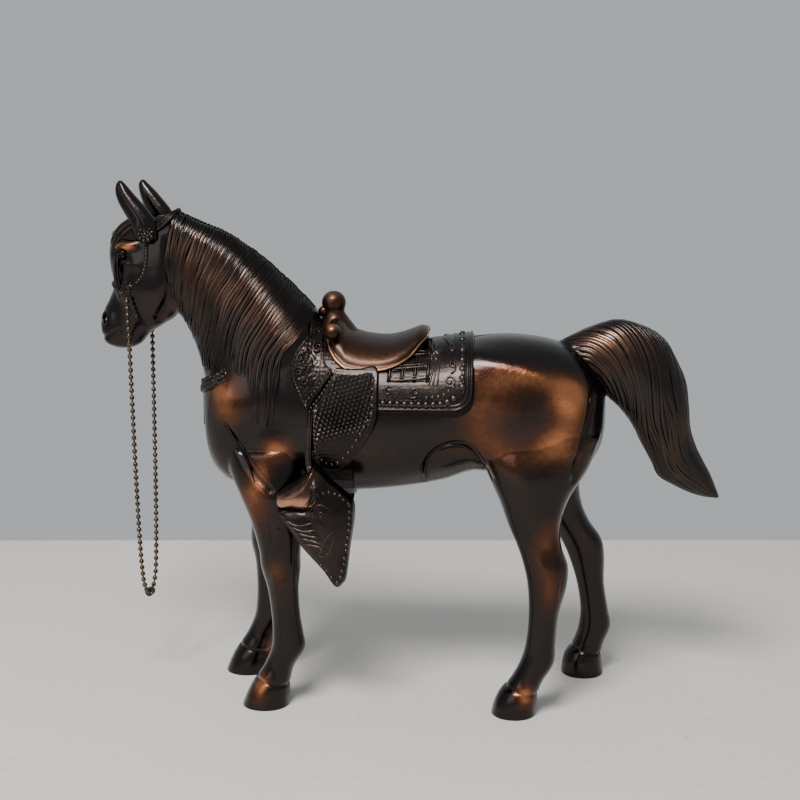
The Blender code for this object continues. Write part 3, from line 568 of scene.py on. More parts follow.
def skinSide(x, z, side):
    # where a level line across the horse meets its side, and the way out there
    hit, normal, _, _ = skinTree.ray_cast(Vector((x, side * 120.0, z)), Vector((0, -side, 0)))
    return (np.array(hit), np.array(normal)) if hit is not None else (None, None)


barrel = {"axisZ": 132.0, "xFront": -54.0, "xBack": 33.0, "step": 1.5, "low": -58.0, "high": 90.0,
          "turn": 3.0}
barrelX = np.arange(barrel["xFront"], barrel["xBack"] + 0.1, barrel["step"])
barrelA = np.radians(np.arange(barrel["low"], barrel["high"] + 0.1, barrel["turn"]))


def barrelRadii():
    # distance of the skin from the barrel's axis over x and angle (0 is level, 90 is up), softened
    field = np.zeros((len(barrelX), len(barrelA)))
    for i, x in enumerate(barrelX):
        for j, a in enumerate(barrelA):
            way = Vector((0, -math.cos(a), math.sin(a)))
            start = Vector((x, 0, barrel["axisZ"]))
            hit = skinTree.ray_cast(start + way * 90, -way)[0]
            field[i, j] = (hit - start).length
    for _ in range(3):
        wide = np.pad(field, 1, mode="edge")
        smooth = (wide[:-2, 1:-1] + wide[2:, 1:-1] + wide[1:-1, :-2] + wide[1:-1, 2:]) / 4
        field = np.maximum(smooth, 0.5 * field + 0.5 * smooth)
    return field


barrelField = barrelRadii()


def radiusAt(x, a):
    # bilinear between the samples
    i = np.clip((x - barrelX[0]) / barrel["step"], 0, len(barrelX) - 1.001)
    j = np.clip((a - barrelA[0]) / math.radians(barrel["turn"]), 0, len(barrelA) - 1.001)
    i0, j0 = i.astype(int), j.astype(int)
    u, v = i - i0, j - j0
    u, v = u * u * (3 - 2 * u) * 0.5 + u * 0.5, v * v * (3 - 2 * v) * 0.5 + v * 0.5
    f = barrelField
    return ((1 - u) * (1 - v) * f[i0, j0] + u * (1 - v) * f[i0 + 1, j0]
            + (1 - u) * v * f[i0, j0 + 1] + u * v * f[i0 + 1, j0 + 1])


def angleAt(x, z, lift):
    # the angle at which the lifted surface reaches height z, by reading a fan of trial angles
    trial = barrelA[None, :]
    reach = radiusAt(x[:, None] + 0 * trial, trial + 0 * x[:, None]) + lift
    heights = barrel["axisZ"] + reach * np.sin(trial)
    heights = np.maximum.accumulate(heights, axis=1)
    step = (heights < z[:, None]).sum(1).clip(1, len(barrelA) - 1)
    row = np.arange(len(x))
    low, high = heights[row, step - 1], heights[row, step]
    share = np.clip((z - low) / np.maximum(high - low, 1e-6), 0, 1)
    return barrelA[step - 1] + share * (barrelA[step] - barrelA[step - 1])


def onBarrel(x, z, side, lift):
    # points at side-view x, z on the surface that lies lift above the smoothed skin
    x, z, lift = (np.asarray(v, float) for v in np.broadcast_arrays(x, z, lift))
    shape = x.shape
    x, z, lift = x.ravel(), z.ravel(), lift.ravel()
    a = angleAt(x, z, float(np.median(lift)))
    r = radiusAt(x, a) + lift
    return np.stack([x, side * r * np.cos(a), barrel["axisZ"] + r * np.sin(a)], 1).reshape(*shape, 3)


def ridge(line, normals, width, height, sunk=0.35, around=8, taper=True):
    # a low rounded bead carried along a line: half an ellipse above the surface and a flat foot in it
    line, normals = np.asarray(line, float), np.asarray(normals, float)
    sideways = unit(np.cross(normals, heading(line)))
    share = np.linspace(0, 1, len(line))
    slim = np.minimum(1, np.minimum(share, 1 - share) * 7) ** 0.6 if taper else np.ones(len(line))
    slim = np.maximum(slim, 0.06)
    turn = np.linspace(0, math.pi, around - 1)
    across = np.concatenate([np.cos(turn), [0]]) * 0.5
    up = np.concatenate([np.sin(turn) ** 0.8, [-1]])
    tall = np.broadcast_to(height, len(line)) * slim
    rise = np.where(up > 0, up * tall[:, None], -sunk)
    wide = across[None, :] * (np.broadcast_to(width, len(line)) * slim)[:, None]
    grid = line[:, None] + sideways[:, None] * wide[..., None] + normals[:, None] * rise[..., None]
    return closedGrid(grid, [line[0], line[-1]])


def barrelLine(points, side, lift, steps=6):
    # a smooth line through side-view points, with the way out at each of its points
    flat = smoothRows(points, steps)
    line = onBarrel(flat[:, 0], flat[:, 1], side, lift)
    return line, barrelNormals(line)


def barrelNormals(points):
    return unit(points * (0, 1, 1) - (0, 0, barrel["axisZ"]))


def skinLine(points, side, steps=8):
    # a side-view line cast onto the skin, with the way out along it, both softened
    found = [skinSide(x, z, side) for x, z in smoothRows(points, steps)[:, :2]]
    keep = [(h, n) for h, n in found if h is not None]
    return softened(3, np.array([h for h, _ in keep]), np.array([n for _, n in keep]))


# ---- the sculpted skin of the castings


def bell(value, middle, width):
    return np.exp(-((value - middle) / width) ** 2)


def mound(x, z, centre, radii, tilt=0.0):
    # a bell of height 1: exp(-(u/ru)^2 - (v/rv)^2), its axes turned by tilt degrees
    c, s = math.cos(math.radians(tilt)), math.sin(math.radians(tilt))
    u, v = (x - centre[0]) * c + (z - centre[1]) * s, -(x - centre[0]) * s + (z - centre[1]) * c
    return np.exp(-(u / radii[0]) ** 2 - (v / radii[1]) ** 2)


def crease(x, z, points, width, steps=4):
    # exp(-(d/width)^2) of the distance d from a smooth line through side-view points
    line = smoothRows(points, steps)
    low, high = line.min(0) - 4 * width, line.max(0) + 4 * width
    close = np.where((x > low[0]) & (x < high[0]) & (z > low[1]) & (z < high[1]))[0]
    out, best = np.zeros(len(x)), np.full(len(close), 1e9)
    px, pz = x[close], z[close]
    for (ax, az), (bx, bz) in zip(line[:-1], line[1:]):
        dx, dz = bx - ax, bz - az
        t = np.clip(((px - ax) * dx + (pz - az) * dz) / (dx * dx + dz * dz), 0, 1)
        best = np.minimum(best, (px - ax - t * dx) ** 2 + (pz - az - t * dz) ** 2)
    out[close] = np.exp(-best / width ** 2)
    return out


sculpture = {
    # centre, radii, tilt, height: the muscles and hollows of both sides
    "mounds": [((-79, 141), (9, 13), 10, 1.7), ((-56, 120), (8, 7), 0, 1.3), ((-66, 128), (5, 10), -35, -1.0),
               ((32, 131), (10, 13), -20, -1.6), ((50, 136), (15, 14), 0, -0.6),
               ((64, 146), (12, 8), -35, 1.2),
               ((44, 113), (9, 11), 0, 1.0), ((-60, 100), (7, 10), 0, 0.8), ((60, 90), (5, 12), 0, -0.8),
               ((-97, 188), (6, 14), -10, -1.0), ((-88, 150), (6, 14), 0, -1.2),
               ((-111, 184), (9, 10), 0, 1.0), ((-121.5, 207), (4.6, 1.9), 8, 1.5),
               ((-125.6, 203.2), (3.0, 2.0), 0, -1.5), ((-126, 194), (3.6, 6.5), 0, -1.1),
               ((-134.6, 174.4), (3.4, 4.2), 20, 0.5), ((-135.2, 173.8), (1.5, 2.5), 25, -2.2),
               ((-118, 199), (3.5, 3), 0, 0.8), ((-133.5, 163.5), (3, 2), 0, 0.8),
               ((-57, 66), (4, 5), 0, 0.5), ((62, 68), (3, 6), 10, 0.6), ((61, 78), (3, 6), 0, -0.6)],
    # line, width, height: seams, folds and edges
    "creases": [([(-78.8, 130.8), (-75.5, 124.1), (-69.1, 112.5), (-59.1, 102.7)], 1.6, -0.9),
                ([(30, 161), (44, 157.5), (58, 153), (70, 146.5), (74.5, 136), (72.5, 122)], 5.0, 1.3),
                ([(7.4, 105.3), (8.6, 114.4), (12.1, 120.2), (17.7, 123.4), (23.7, 123.5), (28.9, 120.4),
                  (36.9, 108.1)], 1.5, -1.0),
                ([(-122.5, 199), (-124.6, 191), (-125, 184)], 1.3, 0.7),
                ([(-137.6, 165.4), (-133, 166), (-128.6, 168.6)], 0.7, -0.9),
                ([(-104.5, 210), (-103.5, 196), (-105.5, 184), (-111, 174.6)], 1.8, -1.3),
                ([(-128.3, 202), (-129.6, 192), (-127.6, 183)], 0.8, 0.5),
                ([(84, 150), (80.5, 143), (77.2, 131), (74.2, 121.9), (72.6, 108)], 1.4, -0.9),
                ([(-56, 84), (-58.6, 70), (-57.4, 55), (-56.2, 40)], 1.6, 0.5)]}
wear = {
    # centre, radii, tilt, amount: where the patina is rubbed through
    "mounds": [((71, 145), (8, 7), -50, 0.80), ((66, 123), (9, 8), 0, 0.45), ((50, 154), (18, 5), -12, 0.30),
               ((40, 147), (10, 8), 0, 0.20), ((53, 138), (24, 22), 0, 0.14), ((-80, 141), (8, 13), 12, 0.62),
               ((-81.3, 144.5), (4, 4), 0, 0.4),
               ((-55.5, 120.4), (6.5, 4.6), -10, 0.6), ((-65, 106), (5, 13), -25, 0.42),
               ((-66, 12), (4.6, 8), 0, 0.9), ((53, 11), (4, 4.5), 0, 0.9),
               ((-122, 206.6), (3.6, 1.7), 8, 1.1),
               ((-133, 206), (2.5, 8), 0, 0.3), ((-116.6, 200.8), (2.4, 3.4), 0, 0.12),
               ((-90, 190), (14, 24), -30, 0.24), ((62, 82), (6, 9), 0, 0.3), ((63, 60), (4, 10), 0, 0.3),
               ((-56.5, 66), (5, 6), 0, 0.3), ((-20, 120), (16, 5), 0, 0.12), ((-66, 98), (8, 24), -8, 0.26),
               ((-58, 58), (6, 20), 0, 0.18),
               ((60, 70), (8, 26), 10, 0.16), ((-110, 182), (7, 6), 0, 0.15)],
    # a copper ring round the haunch, darker in its middle: centre, radii, width and amount
    "ring": ((49, 137), (20, 19), 0.42, 0.38),
    "lines": [([(84, 150), (80.5, 143), (77.2, 131), (74.2, 121.9)], 0.8, 0.1),
              ([(66.6, 90), (68.2, 73.1), (67.3, 54.9)], 0.8, 0.25)]}


def sideShare(normals):
    return eased(np.abs(normals[:, 1]) * 1.6)


def sculpt(points, normals):
    # the sum of the mounds and creases pushes each point along its normal, most where it faces sideways
    x, z = points[:, 0], points[:, 2]
    rise = np.zeros(len(points))
    for centre, radii, tilt, height in sculpture["mounds"]:
        rise += height * mound(x, z, centre, radii, tilt)
    for line, width, height in sculpture["creases"]:
        rise += height * crease(x, z, line, width)
    rise *= sideShare(normals)
    # hooves: a groove round the coronet that slopes down to the heel, and a slight flare below it
    for cx, front in ((-60.5, -68), (51.5, 44)):
        for shift, side in ((0, -1), (offForeStep[0][1] if cx < 0 else offHindStep[0][1], 1)):
            close = (points[:, 2] < 24) & (points[:, 1] * side > 0) & (np.abs(x - cx - shift) < 26)
            line = 13.5 - 0.22 * (x - front - shift)
            rise += close * (-0.7 * np.exp(-((z - line) / 0.9) ** 2) + 0.35 * eased((line - z) / 6))
    return points + normals * rise[:, None]


def wearWithPaintedTopShadeAt(points, normals):
    x, z = points[:, 0], points[:, 2]
    rub = np.full(len(points), 0.03)
    for centre, radii, tilt, amount in wear["mounds"]:
        rub += amount * mound(x, z, centre, radii, tilt)
    centre, radii, width, amount = wear["ring"]
    r = np.sqrt(((x - centre[0]) / radii[0]) ** 2 + ((z - centre[1]) / radii[1]) ** 2)
    rub += amount * np.exp(-((r - 1) / width) ** 2)
    for line, width, amount in wear["lines"]:
        rub += amount * crease(x, z, line, width)
    rub *= 0.25 + 0.75 * sideShare(normals)
    # painted shade: the back and everything facing upwards is kept dark, with little copper
    return rub * (1 - 0.7 * eased((normals[:, 2] - 0.35) / 0.4))


def paintedShadeAt(points):
    x, z = points[:, 0], points[:, 2]
    # painted shade: near black along the sunken creases and in the nostril
    painted_shade = np.zeros(len(points))
    for line, width, height in sculpture["creases"]:
        if height < 0:
            painted_shade += 0.8 * crease(x, z, line, width * 0.7)
    return painted_shade + 0.8 * mound(x, z, (-135.2, 173.8), (1.3, 2.2), 25)


def cutParts(parts, cuts):
    # the closed parts after a chain of boolean cuts with plain boxes
    base = plainObject("cut_work", parts)
    cutters = []
    for operation, low, high in cuts:
        corners = np.array([(x, y, z) for x in (low[0], high[0]) for y in (low[1], high[1])
                            for z in (low[2], high[2])], float)
        quads = np.array([(0, 1, 3, 2), (4, 6, 7, 5), (0, 4, 5, 1), (2, 3, 7, 6), (0, 2, 6, 4), (1, 5, 7, 3)])
        cutter = plainObject("cutter", shell(corners, quads))
        modifier = base.modifiers.new("cut", "BOOLEAN")
        modifier.solver, modifier.operation, modifier.object = "MANIFOLD", operation, cutter
        cutters.append(cutter)
    flat = base.modifiers.new("flat", "TRIANGULATE")   # only the cut faces have more than four corners
    flat.min_vertices = 5
    bpy.context.view_layer.update()
    arrays = readMesh(base)
    for obj in cutters + [base]:
        bpy.data.objects.remove(obj, do_unlink=True)
    return arrays


tail = {"strands": 46, "phaseLow": -0.86, "phaseHigh": 0.92, "width": 2.0, "height": 0.62, "sweep": 0.9}
tailRows = smoothRows(tailStations, 10)


def tailSurface(t, u):
    # station t (0 to 1) and turn u (0 on top, pi underneath, signed by side) to a point of the tail
    k = t * (len(tailRows) - 1)
    row = np.stack([np.interp(k, np.arange(len(tailRows)), tailRows[:, c]) for c in range(5)], -1)
    centre, half = (row[..., 0:2] + row[..., 2:4]) / 2, (row[..., 0:2] - row[..., 2:4]) / 2
    return np.stack([centre[..., 0] + half[..., 0] * np.cos(u), row[..., 4] * np.sin(u),
                     centre[..., 1] + half[..., 1] * np.cos(u)], -1)


def tailNormal(t, u):
    e = 1e-3
    du = tailSurface(t, u + e) - tailSurface(t, u - e)
    dt = tailSurface(np.clip(t + e, 0, 1), u) - tailSurface(np.clip(t - e, 0, 1), u)
    out = unit(np.cross(dt, du))
    middle = tailSurface(t, u) - (tailSurface(t, u * 0) + tailSurface(t, u * 0 + math.pi)) / 2
    return out * np.sign((out * middle).sum(-1))[..., None]


def ridgeWearAndHighlight(rub, around=8):
    # spreads a strand's values across its ridge, high on top and low at its foot: copper on the worn ridge
    # tops, and the painted highlight bands that the values carry
    up = np.concatenate([np.sin(np.linspace(0, math.pi, around - 1)) ** 2, [0]])
    grid = rub[:, None] * (0.25 + 0.75 * up)
    return np.concatenate([grid.ravel(), [rub[0] * 0.3, rub[-1] * 0.3]])


def tailStrands(side):
    # strands keep u/pi - sweep(t) constant: they start on the crest, wrap down, and run on to the tip
    rng = np.random.default_rng(11)
    parts, wearAndHighlightRows = [], []
    for phase in np.linspace(tail["phaseLow"], tail["phaseHigh"], tail["strands"]):
        t = np.linspace(0.04, 0.985, 90)
        wave = 0.012 * np.sin(9 * t + rng.uniform(0, 6)) + 0.01 * np.sin(23 * t + rng.uniform(0, 6))
        place = phase + tail["sweep"] * eased(t / 0.5) + wave
        keep = (place > 0.02) & (place < 0.97)
        if keep.sum() < 8:
            continue
        t, u = t[keep], side * place[keep] * math.pi
        line, normals = tailSurface(t, u), tailNormal(t, u)
        slim = 1 - 0.55 * eased((t - 0.62) / 0.38)
        parts.append(ridge(line, normals, tail["width"] * slim * rng.uniform(0.8, 1.15),
                           tail["height"] * slim * rng.uniform(0.75, 1.25)))
        # painted highlight: a bright band on the tail's upper sides near its root
        shine = 0.13 + 0.5 * bell(t, 0.2, 0.12) * bell(np.abs(u), 1.0, 0.6)
        shine = shine + rng.uniform(-0.08, 0.10) + 0.08 * np.sin(14 * t + rng.uniform(0, 6))
        wearAndHighlightRows.append(ridgeWearAndHighlight(shine))
    return joined(parts), np.concatenate(wearAndHighlightRows)


mane = {"strands": 58, "width": 1.8, "height": 0.62,
        # crest point, middle and end of the strands from the poll to the withers, in side view
        "combs": [(-103.2, 221.4, -105.0, 204, -103.6, 187), (-93.5, 219.0, -98.2, 200, -100.5, 177),
                  (-82.6, 213.6, -91.6, 192, -96.5, 166), (-74.0, 207.8, -85.6, 186, -91.5, 157),
                  (-65.2, 200.0, -78.6, 178, -84.0, 148), (-56.6, 191.4, -71.5, 168, -75.0, 139),
                  (-47.8, 182.6, -63.5, 161, -67.0, 130), (-42.6, 176.6, -54.5, 160, -57.0, 133)]}


def maneStrands(side):
    # each strand is a smooth line from the crest through its middle to its end, laid on the skin
    rng = np.random.default_rng(5)
    combs = smoothRows(mane["combs"], 12)
    parts, wearAndHighlightRows = [], []
    for pick in np.linspace(0, len(combs) - 1, mane["strands"]):
        comb = np.array([np.interp(pick, np.arange(len(combs)), column) for column in combs.T])
        start, middle, end = comb[0:2], comb[2:4], comb[4:6]
        end = middle + (end - middle) * rng.uniform(0.78, 1.1)
        sway = rng.uniform(-0.9, 0.9)
        line, normals = skinLine([start, (start + middle) / 2 + (sway * 0.3, 0), middle + (sway, 0),
                                  (middle + end) / 2 + (sway * 0.7 - 0.4, 0), end], side, 9)
        roots = [skinTree.find_nearest((start[0] + 1.4 * u, side * (4.6 - 3.9 * u), start[1] + 6.5 * u))
                 for u in (1.0, 0.8, 0.6, 0.4, 0.2)]
        line = np.concatenate([[root[0] for root in roots], line])
        normals = np.concatenate([[root[1] for root in roots], normals])
        softened(3, line, normals)
        share = np.linspace(0, 1, len(line))
        wave = 0.25 * np.sin(share * 16 + rng.uniform(0, 6))
        line = line + np.stack([wave, 0 * wave, 0 * wave], 1)
        slim = 1 - 0.6 * eased((share - 0.6) / 0.4)
        parts.append(ridge(line, normals, mane["width"] * slim * rng.uniform(0.8, 1.2),
                           mane["height"] * slim * rng.uniform(0.7, 1.3)))
        # painted highlight: a bright band across the mane partway down the strands, and a fainter one lower
        glow = 0.06 + 0.40 * bell(share, 0.42, 0.2) + 0.12 * bell(share, 0.7, 0.2)
        wearAndHighlightRows.append(ridgeWearAndHighlight(glow * rng.uniform(0.75, 1.15)))
        # a fine hair beside each lock breaks up its edge
        parts.append(ridge(line + (0.9, 0, 0.2), normals, 0.9 * slim, 0.95 * slim))
        wearAndHighlightRows.append(ridgeWearAndHighlight(glow * rng.uniform(0.4, 1.0)))
    return joined(parts), np.concatenate(wearAndHighlightRows)


ear = {"around": 36, "facing": 0.9, "dent": 0.62, "dentWidth": 0.62, "lip": 0.10, "lipAngle": 0.95,
       "lipWidth": 0.22}


def earShell(side):
    # the loft of the ear with a hollow pressed into its outer front, and a lip round the hollow; the last
    # array returned paints shade into the hollow
    rows = smoothRows(earStations[side], 8)
    turn, share = fullTurn(ear["around"]), np.linspace(0, 1, len(rows))[:, None]
    top, bottom = rows[:, 0:2], rows[:, 2:4]
    centre, half = (top + bottom) / 2, (top - bottom) / 2
    gap = np.angle(np.exp(1j * (turn - side * ear["facing"])))
    dent = 1 - ear["dent"] * bell(gap, 0, ear["dentWidth"]) * eased(share / 0.3) * eased((1 - share) / 0.22)
    lip = 1 + ear["lip"] * bell(np.abs(gap), ear["lipAngle"], ear["lipWidth"]) * eased((1 - share) / 0.3)
    up, across = np.cos(turn) * dent * lip, np.sin(turn) * dent * lip
    grid = np.stack([centre[:, :1] + half[:, :1] * up, side * earMiddle + rows[:, 4:5] * across,
                     centre[:, 1:] + half[:, 1:] * up], 2)
    parts = closedGrid(grid, [(centre[k, 0], side * earMiddle, centre[k, 1]) for k in (0, -1)])
    rub = 0.04 + 0.14 * (lip - 1).ravel() / ear["lip"]
    return (parts, np.concatenate([rub, [0.1, 0.2]]),
            np.concatenate([0.9 * (1 - dent).ravel(), [0, 0]]))


def seamLine(points, side, width=0.62, height=0.26):
    return ridge(*skinLine(points, side), width, height, sunk=0.4, around=7)


seams = [[(-78.8, 130.8), (-75.5, 124.1), (-69.1, 112.5), (-66.6, 106.8), (-62.0, 93.3), (-59.6, 80.6),
          (-58.0, 68), (-57.3, 57.7), (-56.7, 42.4), (-57.0, 30), (-60.0, 19.5)],
         [(7.8, 106.6), (8.6, 114.4), (12.1, 120.2), (17.7, 123.4), (23.7, 123.5), (28.9, 120.4),
          (34, 112.6)],
         [(84.0, 149.6), (81.6, 147.3), (79.1, 141.9), (76.4, 130.8), (73.8, 121.9), (72.2, 110.6)],
         [(68.4, 92), (67.4, 82), (68.6, 72), (67.0, 60), (64.6, 46)]]
offSeams = [[(x + stepAt(offForeStep if x < 0 else offHindStep, z), z) for x, z in line] for line in seams]


def faceParts(side):
    # the eye, its lids, the nostril's rim and the forelock
    parts, wearAndHighlightRows = [], []

    def keep(shape, rub):
        parts.append(shape)
        wearAndHighlightRows.append(np.full(len(shape[0]), rub))

    hit, normal = skinSide(-125.4, 203.3, side)
    keep(ball(hit - normal * 1.35, 1.55, 16, 9), 0.02)
    for points, width in (([(-128.4, 203.3), (-126.8, 204.6), (-124.6, 204.7), (-122.8, 203.4)], 0.9),
                          ([(-128.2, 202.7), (-126.6, 201.8), (-124.6, 201.8), (-123.0, 202.7)], 0.7),
                          ([(-128.4, 205.6), (-126, 207.4), (-122.6, 208.0), (-118.8, 206.8)], 1.7)):
        keep(ridge(*skinLine(points, side), width, 0.8), 0.15 if width < 1.5 else 0.7)
    nostril = [(-133.6, 176.8), (-136.0, 176.2), (-136.8, 173.2), (-135.4, 170.8), (-133.9, 171.6)]
    keep(ridge(*skinLine(nostril, side), 1.0, 0.7), 0.2)
    for start, middle, end in (((-118.6, 218.6), (-125.8, 214.6), (-130.8, 205.8)),
                               ((-119.6, 219.2), (-127.4, 215.8), (-132.2, 207.0)),
                               ((-120.8, 219.6), (-128.8, 216.2), (-133.0, 209.4)),
                               ((-117.4, 217.6), (-123.6, 213.2), (-128.6, 207.6))):
        keep(ridge(*skinLine([start, middle, end], side, 12), 1.7, 0.7), 0.22)
    return joined(parts), np.concatenate(wearAndHighlightRows)


def stack(*items):
    # joins (parts, copper wear with painted highlight, painted shade) groups
    parts = joined([item[0] for item in items])
    return parts, np.concatenate([item[1] for item in items]), np.concatenate([item[2] for item in items])


def castGroup(arrays):
    points, quads, tris, normals = arrays
    done = sculpt(points, normals)
    done[:, 2] = np.maximum(done[:, 2], 0)
    return (done, quads, tris), wearWithPaintedTopShadeAt(points, normals), paintedShadeAt(points)


def plainGroup(parts, rub):
    count = len(parts[0])
    return parts, np.broadcast_to(rub, count).astype(float), np.zeros(count)


far, gap = 400.0, skin["gap"]    # far lies outside the horse on every side
skinParts = (skinPoints, skinQuads, skinTris)
rooms = []
for pair in ("fore", "hind"):
    (front, back, top), half = skin[f"{pair}Insert"], skin[f"{pair}Cut"]
    rooms.append(((front - gap, -half - gap, -far), (back + gap, half + gap, top + gap),
                  (front, -half, -far), (back, half, top)))
tailCore = loft(tailStations, around=48, power=2.0)
bodyNodes = {-1: "body_near_half", 1: "body_off_half"}
for side, word in sides:
    half = ((-far, -far, 0.0), (far, -gap / 2, far)) if side < 0 else ((-far, gap / 2, 0.0), (far, far, far))
    cuts = [("INTERSECT", *half)] + [("DIFFERENCE", *room[:2]) for room in rooms]
    cast = castGroup(cutParts(skinParts, cuts))
    core = cutParts(tailCore, [("INTERSECT", *half)])
    seamShapes = joined([seamLine(points, side) for points in (seams if side < 0 else offSeams)])
    face, faceRub = faceParts(side)
    parts, rub, painted_shade = stack(cast, plainGroup(core[:3], 0.12), earShell(side), plainGroup(seamShapes, 0.08),
                             (face, faceRub, np.zeros(len(faceRub))))
    addPiece(f"{word}_body_casting", parts, "bronze", [bodyNodes[side]], rub=rub, painted_shade=painted_shade)
    hair, hairWearAndHighlight = tailStrands(side)
    addPiece(f"{word}_tail_hair", hair, "hair", rub=hairWearAndHighlight)
    hair, hairWearAndHighlight = maneStrands(side)
    addPiece(f"{word}_mane", hair, "hair", rub=hairWearAndHighlight)
for room, word in zip(rooms, ("fore", "hind")):
    cuts = [("INTERSECT", *room[2:]), ("INTERSECT", (-far, -far, 0.0), (far, far, far))]
    parts, rub, painted_shade = castGroup(cutParts(skinParts, cuts))
    addPiece(f"{word}_legs_casting", parts, "bronze", [f"{word}_leg_insert"], rub=rub, painted_shade=painted_shade)
print("castings done")


# ---- saddle leather: dense grids lifted off the smoothed skin, with their tooling as relief
leather = {"skirtLift": 1.8, "seatLift": 2.1, "panelLift": 4.0, "thick": 1.6, "rimShare": 0.05, "sunk": 0.6}
jockeyOutline = [(-36.0, 171.3), (-39.7, 171), (-44, 167.4), (-48, 162), (-49.8, 155.8),
                 (-48.8, 149.8), (-45.8, 143.4), (-42.4, 138.2), (-38.6, 143.4), (-34.4, 149.2),
                 (-31.4, 153.6), (-34.6, 157.6), (-36.4, 164)]
fenderOutline = [(-30.2, 156.2), (-21, 155.8), (-12.6, 156.4), (-11.8, 147), (-12.0, 138),
                 (-13.8, 131), (-17.6, 124.2), (-22.6, 117.8), (-28, 113.4), (-31.8, 112.2), (-35.8, 113.4),
                 (-40.6, 117.8), (-41.8, 126), (-41.6, 136.6), (-36, 144.6)]


def edgeRoll(share, width):
    # 1 in the middle of a panel and 0 at its rim, along a quarter circle
    t = np.clip((1 - share) / width, 0, 1)
    return np.sqrt(np.maximum(0, 1 - (1 - t) ** 2))


def sidePanel(outline, side, lift, thick, relief, rings=110, spans=22):
    # rings of the outline shrunk towards its centre, laid on the barrel; relief(x, z, share) adds tooling
    loop = smoothRows(outline + outline[:1], spans)[:-1]
    centre = loop.mean(0)
    share = np.linspace(0.01, 1, rings)
    x = centre[0] + (loop[None, :, 0] - centre[0]) * share[:, None]
    z = centre[1] + (loop[None, :, 1] - centre[1]) * share[:, None]
    reach = np.broadcast_to(share[:, None], x.shape)
    base = onBarrel(x, z, side, lift)
    out = barrelNormals(base)
    height = (thick + relief(x, z, reach)) * edgeRoll(reach, leather["rimShare"])
    front = base + out * height[..., None]
    inner = base[::-8] - out[::-8] * leather["sunk"]
    grid = np.concatenate([front, inner], 0)
    parts = closedGrid(grid, [front[0].mean(0), inner[-1].mean(0)])
    rub = np.concatenate([height.ravel() - thick, np.full(inner[..., 0].size + 2, -0.5)])
    return parts, rub


def lineRidges(lines, side, lift, width, height, steps=6, taper=True, around=7):
    shapes = []
    for points in lines:
        line, normals = barrelLine(points, side, lift, steps)
        shapes.append(ridge(line, normals, width, height, around=around, taper=taper))
    return shapes


def evenSpots(points, pitch):
    # places at equal steps, about the pitch apart, along a smooth side-view line
    flat = np.pad(smoothRows(points, 12), ((0, 0), (0, 1)))
    total = reachAlong(flat)[-1]
    return alongLine(flat, np.linspace(0, total, int(round(total / pitch)) + 1))[:, :2]


def beadRow(points, side, lift, pitch, radius, height, around=8):
    # low domes at equal steps along the line
    places = onBarrel(*evenSpots(points, pitch).T, side, lift)
    return [bead(p, n, radius, height, around) for p, n in zip(places, barrelNormals(places))]


def spiral(centre, start, turns, radius, hand=1.0):
    # r shrinks evenly from radius to a fifth of it over the turns
    a = np.linspace(0, turns * 2 * math.pi, int(10 * turns) + 2)
    r = radius * (1 - 0.8 * a / a[-1])
    return [(centre[0] + q * math.cos(start + hand * w), centre[1] + q * math.sin(start + hand * w))
            for q, w in zip(r, a)]


def jockeyRelief(x, z, share):
    band = eased((share - 0.83) / 0.02) * eased((0.945 - share) / 0.02)
    angle = np.arctan2((z - 154.5), (x + 41))
    rope = band * (0.55 + 0.35 * np.sin(angle * 46 + share * 60))
    floral = mound(x, z, (-44.4, 157), (4.2, 8.5), 8) * (0.5 + 0.35 * np.sin(x * 2.3 + 1.3 * np.sin(z * 1.1))
                                                        * np.sin(z * 1.9 + 1.1 * np.sin(x * 1.4)))
    return rope + 1.3 * floral * eased((0.82 - share) / 0.1) + 0.25 * mound(x, z, (-36.5, 155), (2.2, 7))


def fenderRelief(x, z, share):
    # rows of pressed scales above, smooth leather in a curved field below
    row = (z * 0.96 - x * 0.28) / 1.6
    along = (x * 0.96 + z * 0.28) / 2.1 + 0.5 * (np.floor(row) % 2)
    scale = (np.abs(np.sin(math.pi * row)) * np.abs(np.sin(math.pi * along))) ** 0.75
    field = eased((z - 123 - 0.3 * (x + 27)) / 12.0) * eased((0.88 - share) / 0.04)
    strap = np.exp(-((x + 38.9) / 1.5) ** 2) * eased((146 - z) / 2)
    return (1.0 * scale - 0.5) * field + strap * (0.5 + 0.25 * np.sin(z * 3.2))


skirtForm = {"front": -43.0, "back": 29.4, "lowDegrees": 7.2, "corner": 9.0, "cornerArm": 34.0,
             "rimX": 29.2, "rimZ": 138.4, "rows": 230, "columns": 150, "inner": 0.5, "sole": 0.2}


def skirtRim(x, z):
    # how far inside the skirt's edge, which has a round corner, a side-view place lies
    r = skirtForm["corner"]
    dx, dz = x - skirtForm["rimX"] + r, z - skirtForm["rimZ"] - r
    return np.where((dx > 0) & (dz < 0), r - np.hypot(dx, dz), np.minimum(r - dx, dz + r))


